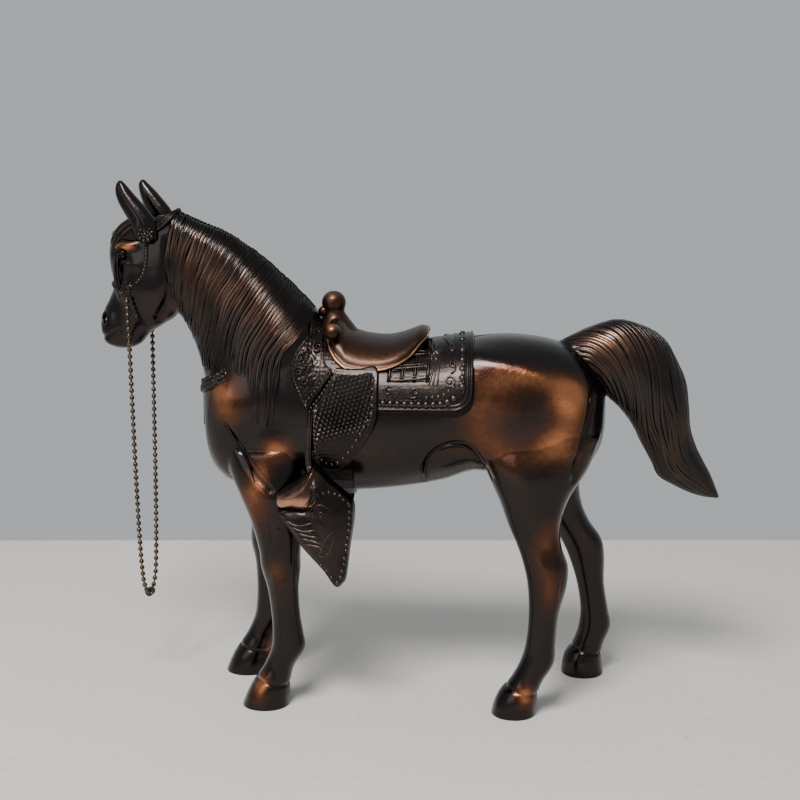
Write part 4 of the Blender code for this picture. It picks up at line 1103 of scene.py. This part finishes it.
def skirtRelief(x, z):
    away = skirtRim(x, z)
    grooves = -0.6 * bell(away, 1.9, 0.45) - 0.5 * bell(away, 3.5, 0.45)
    rim = 0.55 * eased(away / 0.8)
    # stippled ground between the rim and the lattice
    ground = eased((away - 3.8) / 0.5) * eased((6.4 - away) / 1.0)
    stipple = 0.12 * np.sin(x * 3.1 + np.sin(z * 2.3)) * np.sin(z * 3.3 + np.sin(x * 2.9))
    folds = 0.5 * mound(x, z, (20.8, 168.5), (1.0, 4.2), -14) + 0.5 * mound(x, z, (17.6, 168), (0.9, 4), -20)
    (cx, cz), leaves = flower["centre"], flower["lobes"]
    blossom = mound(x, z, (cx, cz), (2.6, 2.6)) * (0.7 + 0.3 * np.cos(leaves * np.arctan2(z - cz, x - cx)))
    # the lattice's field is cut into panes by grooves
    pane = eased((x + 8.6) / 0.6) * eased((10.4 - x) / 0.6) * eased((z - 150.4) / 0.6)
    across = np.abs(((x - 0.08 * (z - 150.6) + 7.4) / 5.53 + 0.5) % 1 - 0.5) * 5.53
    upward = np.abs(((z - 0.08 * x - 151) / 4.6 + 0.5) % 1 - 0.5) * 4.6
    panes = -0.30 * pane * (bell(across, 0.1, 0.4) + bell(upward, 0.1, 0.4))
    return rim + grooves + ground * stipple + folds + blossom + panes


def skirt(side):
    # the near or off half of the blanket: x along the barrel, and the angle round it from its lower edge up
    form, top = skirtForm, math.radians(90)
    x = np.linspace(form["front"], form["back"], form["rows"])[:, None] + np.zeros(form["columns"])
    # near the back the lower edge rises in a quarter circle
    over = np.clip((x - form["back"]) / form["corner"] + 1, 0, 1)
    rise = form["corner"] * (1 - np.sqrt(1 - over ** 2)) / form["cornerArm"]
    low = math.radians(form["lowDegrees"]) + rise
    a = low + (top - low) * np.linspace(0, 1, form["columns"])
    radius = radiusAt(x, a)
    z = barrel["axisZ"] + (radius + leather["skirtLift"]) * np.sin(a)
    edge = np.minimum(eased(skirtRim(x, z) / 0.7), eased((x - form["front"]) / 0.7))
    height = (leather["skirtLift"] - form["inner"]) * np.maximum(edge, 0.02) + skirtRelief(x, z) * edge
    out = np.stack([0 * a, side * np.cos(a), np.sin(a)], 2)
    axis = np.stack([x, 0 * x, barrel["axisZ"] + 0 * x], 2)
    outer = axis + out * (radius + form["inner"] + height)[..., None]
    return boxGrid(outer, axis + out * (radius + form["sole"])[..., None]), height


def boxGrid(top, under):
    # a closed sheet between two grids of equal size
    rows, columns, _ = top.shape
    count = rows * columns
    index = np.arange(count).reshape(rows, columns)
    quads = [gridQuads(rows, columns, False), gridQuads(rows, columns, False)[:, ::-1] + count]
    rim = np.concatenate([index[0, :], index[1:, -1], index[-1, -2::-1], index[-2:0:-1, 0]])
    after = np.roll(rim, -1)
    quads.append(np.stack([after, rim, rim + count, after + count], 1))
    return shell(np.vstack([top.reshape(-1, 3), under.reshape(-1, 3)]), np.vstack(quads))


flower = {"centre": (11.9, 161.8), "lobes": 5, "petals": 6, "reach": 2.1}
lattice = {"x": -7.4, "z": 150.6, "across": 16.6, "lean": 1.2, "tall": 14.8, "firstRow": 151,
           "row": 4.6, "lines": 4}
scrolls = [spiral((-7.6, 147.0), 0.4, 1.3, 2.0) + [(-4.4, 147.6), (-1.6, 146.6), (1.4, 145.0)],
           spiral((4.2, 146.8), -2.2, 1.2, 1.9, -1)[::-1],
           [(11.6, 147.0), (14.8, 148.2), (17.2, 149.2)] + spiral((18.8, 151.6), -2.0, 1.4, 2.4),
           spiral((20.2, 158.0), 1.2, 1.3, 1.5), spiral((19.4, 163.6), 2.4, 1.2, 1.5, -1),
           [(1.4, 145.0), (3.2, 144.4), (5.6, 145.2)], [(18.8, 154.0), (20.8, 155.6), (21.0, 157.6)],
           [(15.0, 166.8), (18.2, 165.2), (20.4, 162.2)]]
# line, pitch, radius and height, and how many corners each dome has
skirtBeads = [([(24.0, 170.6), (24.2, 160), (24.2, 149.5)], 3.3, 1.55, 1.15, 8),
              ([(24.1, 168.6), (24.2, 160), (24.2, 151)], 1.85, 0.6, 0.6, 6),
              ([(-9.6, 142.2), (4, 141.9), (15.2, 142.2), (20.6, 144.6)], 3.2, 1.55, 1.15, 8),
              ([(9.0, 144.7), (15.4, 145.6), (20.4, 149.2)], 2.5, 1.1, 0.9, 8)]


def latticeLines():
    # pairs of lines, the second of each pair thinner: points, width and height
    lines = []
    for k in range(lattice["lines"]):
        u = k / (lattice["lines"] - 1)
        x, z = lattice["x"] + lattice["across"] * u, lattice["z"] + lattice["lean"] * u
        row = lattice["firstRow"] + lattice["row"] * k
        for shift, width, height in ((0, 0.9, 0.8), (1.1, 0.7, 0.6)):
            lines.append(([(x + shift, z), (x + shift + 1.2, z + lattice["tall"])], width, height))
            start = -7.8 + 0.4 * k + (0.1 if shift else 0)
            lines.append(([(start, row + shift), (10.2, row + 1.4 + shift)], width, height))
    return lines


def skirtOrnament(side):
    lift = leather["skirtLift"] + 0.25
    shapes = []
    for points, width, height in latticeLines():
        shapes += lineRidges([points], side, lift, width, height)
    # straps beside the lattice
    for dx in (0, 1.2, 2.6):
        points = [(12.4 + dx * 0.8, 161), (11.4 + dx, 155), (9.6 + dx * 1.5, 148.6)]
        shapes += lineRidges([points], side, lift, 0.95, 0.9)
    shapes += lineRidges(scrolls, side, lift, 1.2, 1.1, 3)
    for points, pitch, radius, height, around in skirtBeads:
        shapes += beadRow(points, side, lift, pitch, radius, height, around)
    # the flower's middle and its petals
    spots = [(0, 0, 0.5, 1.1, 0.9, 10)]
    spots += [(flower["reach"] * math.cos(a), flower["reach"] * math.sin(a), 0.1, 0.85, 0.7, 8)
              for a in fullTurn(flower["petals"])]
    for dx, dz, rise, radius, height, around in spots:
        place = onBarrel([flower["centre"][0] + dx], [flower["centre"][1] + dz], side, lift + rise)
        shapes.append(bead(place[0], barrelNormals(place)[0], radius, height, around))
    return joined(shapes)


def withOrnament(base, baseRub, ornament, rub):
    return joined([base, ornament]), np.concatenate([baseRub, np.full(len(ornament[0]), rub)])


def makeSkirts():
    for side, word in sides:
        base, height = skirt(side)
        rub = np.concatenate([0.05 + 0.40 * (height.ravel() - leather["thick"]), np.zeros(height.size)])
        parts, rub = withOrnament(base, rub, skirtOrnament(side), 0.42)
        addPiece(f"{word}_skirt", parts, "tooled", ["saddle_blanket"], rub=rub)


# the rows of beads, then the scrolls of the raised flower boss: centre, start, radius and hand
jockeyRows = [[(-30.8, 154.2), (-35.4, 146.6), (-40.6, 139.8)],
              [(-32.9, 156.2), (-37.6, 148.8), (-42.6, 142.4)]]
jockeyScrolls = [((-45.6, 160.6), 0.4, 1.9, 1), ((-46.2, 155.0), 2.6, 1.9, -1), ((-43.0, 156.6), 4.0, 1.6, 1),
                 ((-43.6, 151.0), 1.0, 1.6, -1), ((-42.6, 163.6), 5.0, 1.4, 1)]


def makeJockeys():
    lift, thick = leather["panelLift"], leather["thick"]
    for side, word in sides:
        base, rub = sidePanel(jockeyOutline, side, lift - thick, thick, jockeyRelief)
        shapes = lineRidges([spiral((-38.6, 164.6), 0.6, 1.6, 2.3)], side, lift + 0.4, 0.9, 0.8, 3)
        for row in jockeyRows:
            shapes += beadRow(row, side, lift + 0.1, 1.9, 0.85, 0.7)
        shapes += lineRidges([[(-37.2, 166), (-37.0, 158), (-37.6, 150)]], side, lift, 0.8, 0.6)
        for centre, start, radius, hand in jockeyScrolls:
            shapes += lineRidges([spiral(centre, start, 1.2, radius, hand)], side, lift + 1.0, 0.75, 0.7, 3)
        parts, rub = withOrnament(base, 0.14 + 0.35 * rub, joined(shapes), 0.36)
        addPiece(f"{word}_jockey_panel", parts, "tooled", [f"{word}_jockey"], rub=rub)


# line, lift above the panel, pitch, radius and height
fenderBeads = [([(-14.0, 151.6), (-14.2, 145), (-14.4, 138.6), (-18.0, 131.4), (-21.6, 125.0), (-25.4, 119.4),
                 (-29.4, 115.6)], 0.05, 3.3, 0.95, 0.75),
               ([(-29.6, 115.4), (-33.4, 114.8), (-37.4, 117.4), (-39.8, 120.2)], 0.0, 2.4, 0.7, 0.6),
               ([(-39.0, 137.6), (-39.3, 128), (-39.0, 120.6)], 0.4, 1.9, 0.75, 0.7)]


def makeFenders():
    lift, thick = leather["panelLift"] + 0.4, leather["thick"]
    for side, word in sides:
        base, rub = sidePanel(fenderOutline, side, lift - thick, thick, fenderRelief)
        shapes = []
        for points, rise, pitch, radius, height in fenderBeads:
            shapes += beadRow(points, side, lift + rise, pitch, radius, height)
        parts, rub = withOrnament(base, 0.12 + 0.4 * rub, joined(shapes), 0.42)
        addPiece(f"{word}_fender_panel", parts, "tooled", [f"{word}_fender"], rub=rub)


makeSkirts()
makeJockeys()
makeFenders()
print("saddle leather done")


# ---- seat, horn and swell knobs
seatStations = [(-35.0, 174.4, 165.6, 15), (-33.6, 175.8, 162.6, 19.4), (-31.4, 175.9, 159.6, 22.6),
                (-28.4, 174.0, 156.9, 24.6), (-25.6, 170.9, 155.6, 25.8), (-20, 168.8, 154.6, 26.4),
                (-14, 167.8, 155.0, 26.2), (-8.4, 167.7, 156.0, 25.6), (-3, 168.8, 158.2, 24),
                (1.6, 170.4, 161.6, 21), (5.6, 171.8, 166.2, 16.5), (8.8, 171.4, 168.8, 11)]
seat = {"shell": 1.8, "rimRadius": 0.48}
horn = {"place": (-33.3, 0, 176.4), "way": (-0.06, 0, 1.0), "lump": (-38.0, -1.0, 178.0), "lumpRadius": 2.6,
        "profile": [(0, -9.0), (11.0, -9.0), (9.4, -6.4), (7.4, -3.4), (5.6, -1.0), (4.7, 0.9), (4.6, 2.2),
                    (5.2, 4.0), (5.4, 5.8), (4.9, 7.8), (3.7, 9.4), (1.9, 10.5), (0, 10.75)]}
knob = {"x": -32.2, "y": 20.8, "z": 171.2, "radius": 3.7}


def seatSurface():
    # an arch at each station: y = half sin(a), z = top - (top - edge)(1 - cos a), kept above the blanket
    rows = smoothRows(seatStations, 12)
    a = np.linspace(-math.pi / 2, math.pi / 2, 81)
    y = rows[:, 3:4] * np.sin(a)
    z = rows[:, 1:2] - (rows[:, 1:2] - rows[:, 2:3]) * (1 - np.cos(a))
    x = rows[:, 0:1] + 0 * a
    angle = np.arctan2(z - barrel["axisZ"], np.abs(y))
    least = radiusAt(x, angle) + leather["seatLift"] + seat["shell"]
    reach = np.maximum(np.hypot(y, z - barrel["axisZ"]), least)
    out = np.stack([0 * x, np.sign(y + 1e-9) * np.cos(angle), np.sin(angle)], 2)
    axis = np.stack([x, 0 * x, barrel["axisZ"] + 0 * x], 2)
    return axis + out * reach[..., None], axis + out * (reach - seat["shell"])[..., None]


def aroundEdge(grid):
    # the rim of a grid of points as one closed walk
    return np.concatenate([grid[:, 0], grid[-1, 1:-1], grid[::-1, -1], grid[0, -2:0:-1], grid[:2, 0]])


def makeSeat():
    top, under = seatSurface()
    roll = tube(aroundEdge(top) * 0.75 + aroundEdge(under) * 0.25, seat["rimRadius"], 10)
    a = np.linspace(-1, 1, top.shape[1])[None, :]
    share = np.linspace(0, 1, top.shape[0])[:, None]
    edge = bell(np.abs(a), 1, 0.05) + bell(share, 1, 0.05)
    rub = 0.12 + 0.45 * edge + 0.12 * bell(share, 0.5, 0.3)
    rub = np.concatenate([rub.ravel(), np.full(rub.size, 0.1), np.full(len(roll[0]), 1.0)])
    addPiece("seat_shell", joined([boxGrid(top, under), roll]), "seat", ["saddle_seat"], rub=rub)


def makeHorn():
    # the fork swells up into the horn's neck, and the ball sits on it
    profile = smoothRows(horn["profile"], 4)
    profile[:, 0] = np.maximum(profile[:, 0], 0)
    post = turnedForm(profile, horn["place"], horn["way"], 40)
    lump = ball(horn["lump"], horn["lumpRadius"], 18, 11)
    parts, rub = withOrnament(post, 0.24 + 0.35 * eased((post[0][:, 2] - 182) / 5), lump, 0.15)
    addPiece("horn", parts, "seat", ["saddle_horn"], rub=rub)
    for side, word in sides:
        form = ball((knob["x"], side * knob["y"], knob["z"]), knob["radius"], 24, 15)
        addPiece(f"{word}_knob", form, "seat", [f"{word}_swell_knob"],
                 rub=0.05 + 0.75 * eased((form[0][:, 2] - 170.8) / 3.4))


makeSeat()
makeHorn()


# ---- tapaderos: the hood, its smooth bowl and the stirrup leather above
hoodOutline = [(-41.8, 101.6), (-42.6, 106.0), (-42.8, 111.0), (-40.4, 115.0), (-36.4, 113.8), (-32.6, 109.6),
               (-28.0, 105.8), (-22.4, 100.2), (-21.9, 92),
               (-23.6, 80), (-25.4, 66.6), (-27.0, 62.4), (-30.4, 60.9), (-35.6, 68.2), (-45.2, 79.2),
               (-54.0, 92.2), (-55.2, 95.6), (-50, 97.2), (-44.8, 97.6), (-41.4, 99.6)]
bowlOutline = [(-38.6, 115.6), (-43.4, 111.6), (-46.8, 108.6), (-51.6, 105.8), (-55.6, 101.8), (-55.9, 98.2),
               (-54.4, 96.6), (-49.6, 96.4), (-44, 95.6), (-37, 96.5), (-33.5, 101), (-34.5, 108.5)]
hangerLine = [(-41.0, 139.0), (-41.6, 130), (-42.0, 121), (-41.4, 114.6), (-39.4, 109.6), (-38.6, 103.6),
              (-41.6, 98.6)]
hood = {"inner": 33.6, "bulge": 8.6, "centre": (-35, 88), "power": 2.6}
bowl = {"inner": 33.8, "bulge": 9.2, "centre": (-44.5, 102.6), "power": 2.3}
# share of the hanger's length and distance from the horse's middle there
hangerDepth = [(0, 33.2), (0.3, 32.4), (0.5, 34.6), (0.62, 38.6), (0.75, 41.6), (1, 42.4)]
hanger = {"width": 2.6, "height": 1.2, "sunk": 1.4, "cord": 1.0, "bead": 0.62}


def outlineForm(outline, side, form, relief, rings=60, spans=10):
    # a flat back and a domed front over a side-view outline: rise = (1 - share^p)^(1/p)
    loop = smoothRows(outline + outline[:1], spans)[:-1]
    share = np.linspace(0.01, 1, rings)[:, None]
    x, z = (form["centre"][k] + (loop[:, k] - form["centre"][k]) * share for k in (0, 1))
    rise = (1 - share ** form["power"]) ** (1 / form["power"])
    y = form["inner"] + form["bulge"] * rise + relief(x, z, share) * np.minimum(1, (1 - share) * 14)
    front = np.stack([x, side * y, z], 2)
    back = np.stack([x[::-6], 0 * x[::-6] + side * form["inner"], z[::-6]], 2)
    return closedGrid(np.concatenate([front, back], 0), [front[0].mean(0), back[-1].mean(0)]), front


def hoodRelief(x, z, share):
    folds = 0.35 * np.sin((x * 0.55 + z * 0.85) * 0.9 + np.sin(x * 0.5)) * mound(x, z, (-43, 88), (8, 8), -40)
    return folds + 0.45 * bell(share, 0.93, 0.02)


def noRelief(x, z, share):
    return 0 * x


def moved(parts, step):
    return (parts[0] + step, *parts[1:])


def frontAt(front, spots):
    # the point of a front grid nearest to each side-view spot
    grid = front.reshape(-1, 3)
    return grid[[int(np.argmin((grid[:, 0] - x) ** 2 + (grid[:, 2] - z) ** 2)) for x, z in spots]]


offStirrupStep = -5.0    # the off stirrup hangs a little further forward


# line, pitch and radius of the hood's beads; line, width, height and steps of its cords
hoodBeads = [([(-24.0, 99.0), (-23.8, 91), (-25.4, 79), (-27.0, 69.4), (-29.2, 64.0)], 3.1, 0.95),
             ([(-37.0, 103.8), (-32.6, 104.6), (-28.6, 103.2), (-24.4, 99.6)], 2.6, 0.9),
             ([(-31.6, 66.6), (-36.2, 72.0)], 3.0, 0.8), ([(-35.9, 94.8), (-35.7, 94.6)], 9.0, 0.7)]
hoodCords = [(spiral((-35.9, 94.8), 0.0, 1.1, 2.0), 0.7, 0.6, 3),
             ([(-39.8, 92.6), (-40.4, 96.4), (-37.6, 99.4), (-33.6, 99.0), (-31.2, 96.0)], 0.8, 0.6, 6),
             ([(-30.2, 84), (-33.0, 78), (-36.6, 76.6), (-34.0, 84), (-30.4, 88)], 0.8, 0.5, 6)]
hoodCords += [([(-52.4 + 2.0 * k, 92.4 - 2.7 * k), (-46 + 2.0 * k, 90.0 - 2.2 * k),
                (-39 + 1.6 * k, 91.6 - 3.2 * k)], 0.9, 0.55, 6) for k in range(5)]


def makeHood(side, word, step):
    out = np.array([0, side, 0.0])
    base, front = outlineForm(hoodOutline, side, hood, hoodRelief)
    shapes = []
    for points, pitch, radius in hoodBeads:
        shapes += [bead(p, out, radius, 0.85 * radius, 8) for p in frontAt(front, evenSpots(points, pitch))]
    for points, width, height, steps in hoodCords:
        line, = softened(2, frontAt(front, smoothRows(points, steps)))
        shapes.append(ridge(line, np.repeat(out[None], len(line), 0), width, height, around=7))
    parts, rub = withOrnament(base, np.full(len(base[0]), 0.16), joined(shapes), 0.42)
    addPiece(f"{word}_tapadero_hood", moved(parts, step), "tooled", [f"{word}_tapadero"], rub=rub)


def makeLeather(side, word, step):
    out = np.array([0, side, 0.0])
    flat = smoothRows(hangerLine, 10)
    depth = np.interp(np.linspace(0, 1, len(flat)), *zip(*hangerDepth))
    line = np.stack([flat[:, 0], side * depth, flat[:, 1]], 1)
    normals = np.repeat(out[None], len(line), 0)
    across = np.cross(normals, heading(line)) * hanger["cord"]
    shapes = [ridge(line, normals, hanger["width"], hanger["height"], sunk=hanger["sunk"], around=12)]
    shapes += [ridge(line + edge + out * 0.7, normals, 0.7, 0.5, around=7) for edge in (-across, across)]
    shapes += [bead(p + out * 0.9, out, hanger["bead"], 0.6, 8) for p in line[4:-4:3]]
    addPiece(f"{word}_leather", moved(joined(shapes), step), "tooled", [f"{word}_stirrup_leather"], rub=0.3)


def makeStirrups():
    for side, word in sides:
        step = np.array([offStirrupStep if side > 0 else 0.0, 0, 0])
        makeHood(side, word, step)
        form = outlineForm(bowlOutline, side, bowl, noRelief)[0]
        addPiece(f"{word}_bowl", moved(form, step), "hair", [f"{word}_stirrup_bowl"],
                 rub=0.42 + 0.60 * eased((104.5 - form[0][:, 2]) / 4.5))
        makeLeather(side, word, step)


makeStirrups()


# ---- bridle and breast collar


def wrapLine(route, steps=8, lift=0.2):
    # the nearest skin to a smooth line through space, with the way out there, both softened along it
    found = [skinTree.find_nearest(Vector(p))[:2] for p in smoothRows(route, steps)]
    line, normals = softened(4, np.array([f[0] for f in found]), np.array([f[1] for f in found]))
    return line + normals * lift, normals


def overHead(half):
    # a route from the near side to the middle, carried on over to the off side
    return half + [(x, -y, z) for x, y, z in half[-2::-1]]


def strapForm(line, normals, width, height, cords=2, beads=0.0, pitch=1.6):
    # a low band with raised cords along it, and beads down its middle where asked
    shapes = [ridge(line, normals, width, height * 0.6, sunk=0.5, around=10, taper=False)]
    across = np.cross(normals, heading(line))
    for k in range(cords):
        shift = (k / max(cords - 1, 1) - 0.5) * (width - 0.7)
        shapes.append(ridge(line + across * shift + normals * height * 0.3, normals, 0.75, height * 0.6,
                            around=7, taper=False))
    if beads:
        total = reachAlong(line)[-1]
        at = np.linspace(pitch / 2, total - pitch / 2, max(2, int(total / pitch)))
        shapes += [bead(p + n * height * 0.4, n, beads, beads * 0.9, 8)
                   for p, n in zip(alongLine(line, at), alongLine(line, at, normals))]
    return shapes


def ringOfBeads(centre, normal, count, ringRadius, radius):
    first = unit(np.cross(normal, (0, 0, 1.0)))
    second = np.cross(normal, first)
    return [bead(centre + ringRadius * (math.cos(a) * first + math.sin(a) * second), normal, radius)
            for a in fullTurn(count)]


bridle = {"crown": [(-111.6, -12, 214.6), (-107.4, -10.4, 218), (-104.6, -6, 221), (-103, 0, 222.4)],
          "brow": [(-117.4, -12, 210.6), (-123, -11.5, 211.4), (-129.5, -7.5, 212), (-132.5, 0, 212.2)],
          "nose": [(-125.6, -10, 184.4), (-130, -8, 187.8), (-133, -4, 189.6), (-133.6, 0, 190)],
          "face": [(-128.0, 203.0), (-128.4, 198), (-128.2, 191.5), (-126.4, 184)], "faceStep": 1.5,
          "jaw": [(-125.8, 184.6), (-124.6, 181.4), (-123.0, 178.2), (-119.6, 174.6)],
          "cheek": [(-113.6, 207.4), (-113.6, 200), (-115.2, 194), (-118.4, 190.0)]}
rosette = {"place": (-113.2, 211.2), "lift": 2.1,    # clears the root of the ear
           "profile": [(0, -2.6), (3.2, -2.6), (3.6, 0.3), (3.0, 1.1), (1.6, 1.5), (0, 1.6)]}
boss = {"place": (-122.0, 187.4), "profile": [(0, -0.8), (2.6, -0.8), (2.7, 0.2), (2.3, 0.75), (1.8, 0.45),
                                              (1.3, 0.8), (0.6, 1.15), (0, 1.2)]}


def makeHeadStraps():
    line, normals = wrapLine(overHead(bridle["crown"]), 10)
    nub = ball(line[len(line) // 2] + (0.6, 0, 1.0), 1.1)
    addPiece("crown_strap_cords", joined(strapForm(line, normals, 2.6, 1.3, 3) + [nub]), "tooled",
             ["crown_strap"], rub=0.25)
    shapes = strapForm(*wrapLine(overHead(bridle["brow"]), 10), 1.7, 0.9)
    addPiece("browband_cords", joined(shapes), "tooled", ["browband"], rub=0.2)
    shapes = strapForm(*wrapLine(overHead(bridle["nose"]), 10), 2.2, 1.0, 0, beads=0.62, pitch=1.35)
    for side, _ in sides:
        for shift in (0.0, bridle["faceStep"]):
            line, normals = skinLine([(x + shift, z) for x, z in bridle["face"]], side)
            shapes.append(ridge(line, normals, 0.8, 0.6, around=7))
        shapes += strapForm(*skinLine(bridle["jaw"], side), 1.6, 0.8, 0, beads=0.55, pitch=1.3)
    addPiece("noseband_beads", joined(shapes), "tooled", ["noseband"], rub=0.35)


def makeCheeks():
    for side, word in sides:
        shapes = strapForm(*skinLine(bridle["cheek"], side, 10), 2.0, 0.9, 0, beads=0.85, pitch=1.7)
        addPiece(f"{word}_cheek_beads", joined(shapes), "tooled", [f"{word}_cheek_strap"], rub=0.35)
        centre, normal = skinSide(*rosette["place"], side)
        centre = centre + normal * rosette["lift"]
        shapes = [turnedForm(rosette["profile"], centre, normal, 28)]
        shapes += ringOfBeads(centre + normal * 0.9, normal, 9, 2.9, 1.05)
        shapes += ringOfBeads(centre + normal * 1.5, normal, 5, 1.35, 0.75)
        shapes.append(bead(centre + normal * 1.7, normal, 1.0, 0.9, 12))
        addPiece(f"{word}_rosette_beads", joined(shapes), "tooled", [f"{word}_rosette"], rub=0.3)
        centre, normal = skinSide(*boss["place"], side)
        shapes = [turnedForm(boss["profile"], centre, normal, 28)]
        shapes += ringOfBeads(centre + normal * 0.05, normal, 13, 3.2, 0.5)
        addPiece(f"{word}_boss", joined(shapes), "tooled", [f"{word}_bit_boss"], rub=0.4)


collar = {"degrees": (-64, -50, -34, -17, 0, 17, 34, 50, 64), "centreX": -70.0, "depth": 24.0, "half": 26.0,
          "low": 144.0, "rise": 13.5, "rows": (-1.7, 0.1, 1.8), "drop": [141, 136, 131, 126], "dropX": -93.0}


def makeCollar():
    rng = np.random.default_rng(3)
    turns = np.radians(collar["degrees"])
    rise = collar["rise"] * np.abs(np.array(collar["degrees"]) / 82) ** 1.6
    route = np.stack([collar["centreX"] - collar["depth"] * np.cos(turns), collar["half"] * np.sin(turns),
                      collar["low"] + rise], 1)
    line, normals = wrapLine(route)
    shapes = strapForm(line, normals, 6.2, 0.8)
    across = np.cross(normals, heading(line))
    for k in range(2, len(line) - 2):
        for shift in collar["rows"]:
            spot = line[k] + across[k] * (shift + rng.uniform(-0.5, 0.5)) + normals[k] * 0.5
            shapes.append(bead(spot, normals[k], rng.uniform(0.8, 1.2), rng.uniform(0.6, 1.0), 8))
    addPiece("collar_band", joined(shapes), "tooled", ["breast_collar"], rub=0.28)
    dropX = [collar["dropX"]] * 3 + [collar["dropX"] + 0.4]
    line, normals = wrapLine([(x, 0, z) for x, z in zip(dropX, collar["drop"])])
    shapes = strapForm(line, normals, 4.4, 1.4, beads=1.1, pitch=2.4)
    for k in range(3, len(line) - 2, 3):
        for shift in (-1.4, 1.4):
            shapes.append(bead(line[k] + (0, shift, 0) + normals[k] * 0.6, normals[k], 0.8, 0.8, 8))
    addPiece("collar_drop", joined(shapes), "tooled", ["breast_ornament"], rub=0.28)


def finishKept():
    # CAD nodes that stay take the finish of their slot
    for node, look in (("girth", "tooled"), ("near_bit_loop", "brass"), ("off_bit_loop", "brass"),
                       ("chain_clasp", "brass")):
        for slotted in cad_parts[node].material_slots:
            slotted.material = finish[look]


makeHeadStraps()
makeCheeks()
makeCollar()
finishKept()
print("tack done")
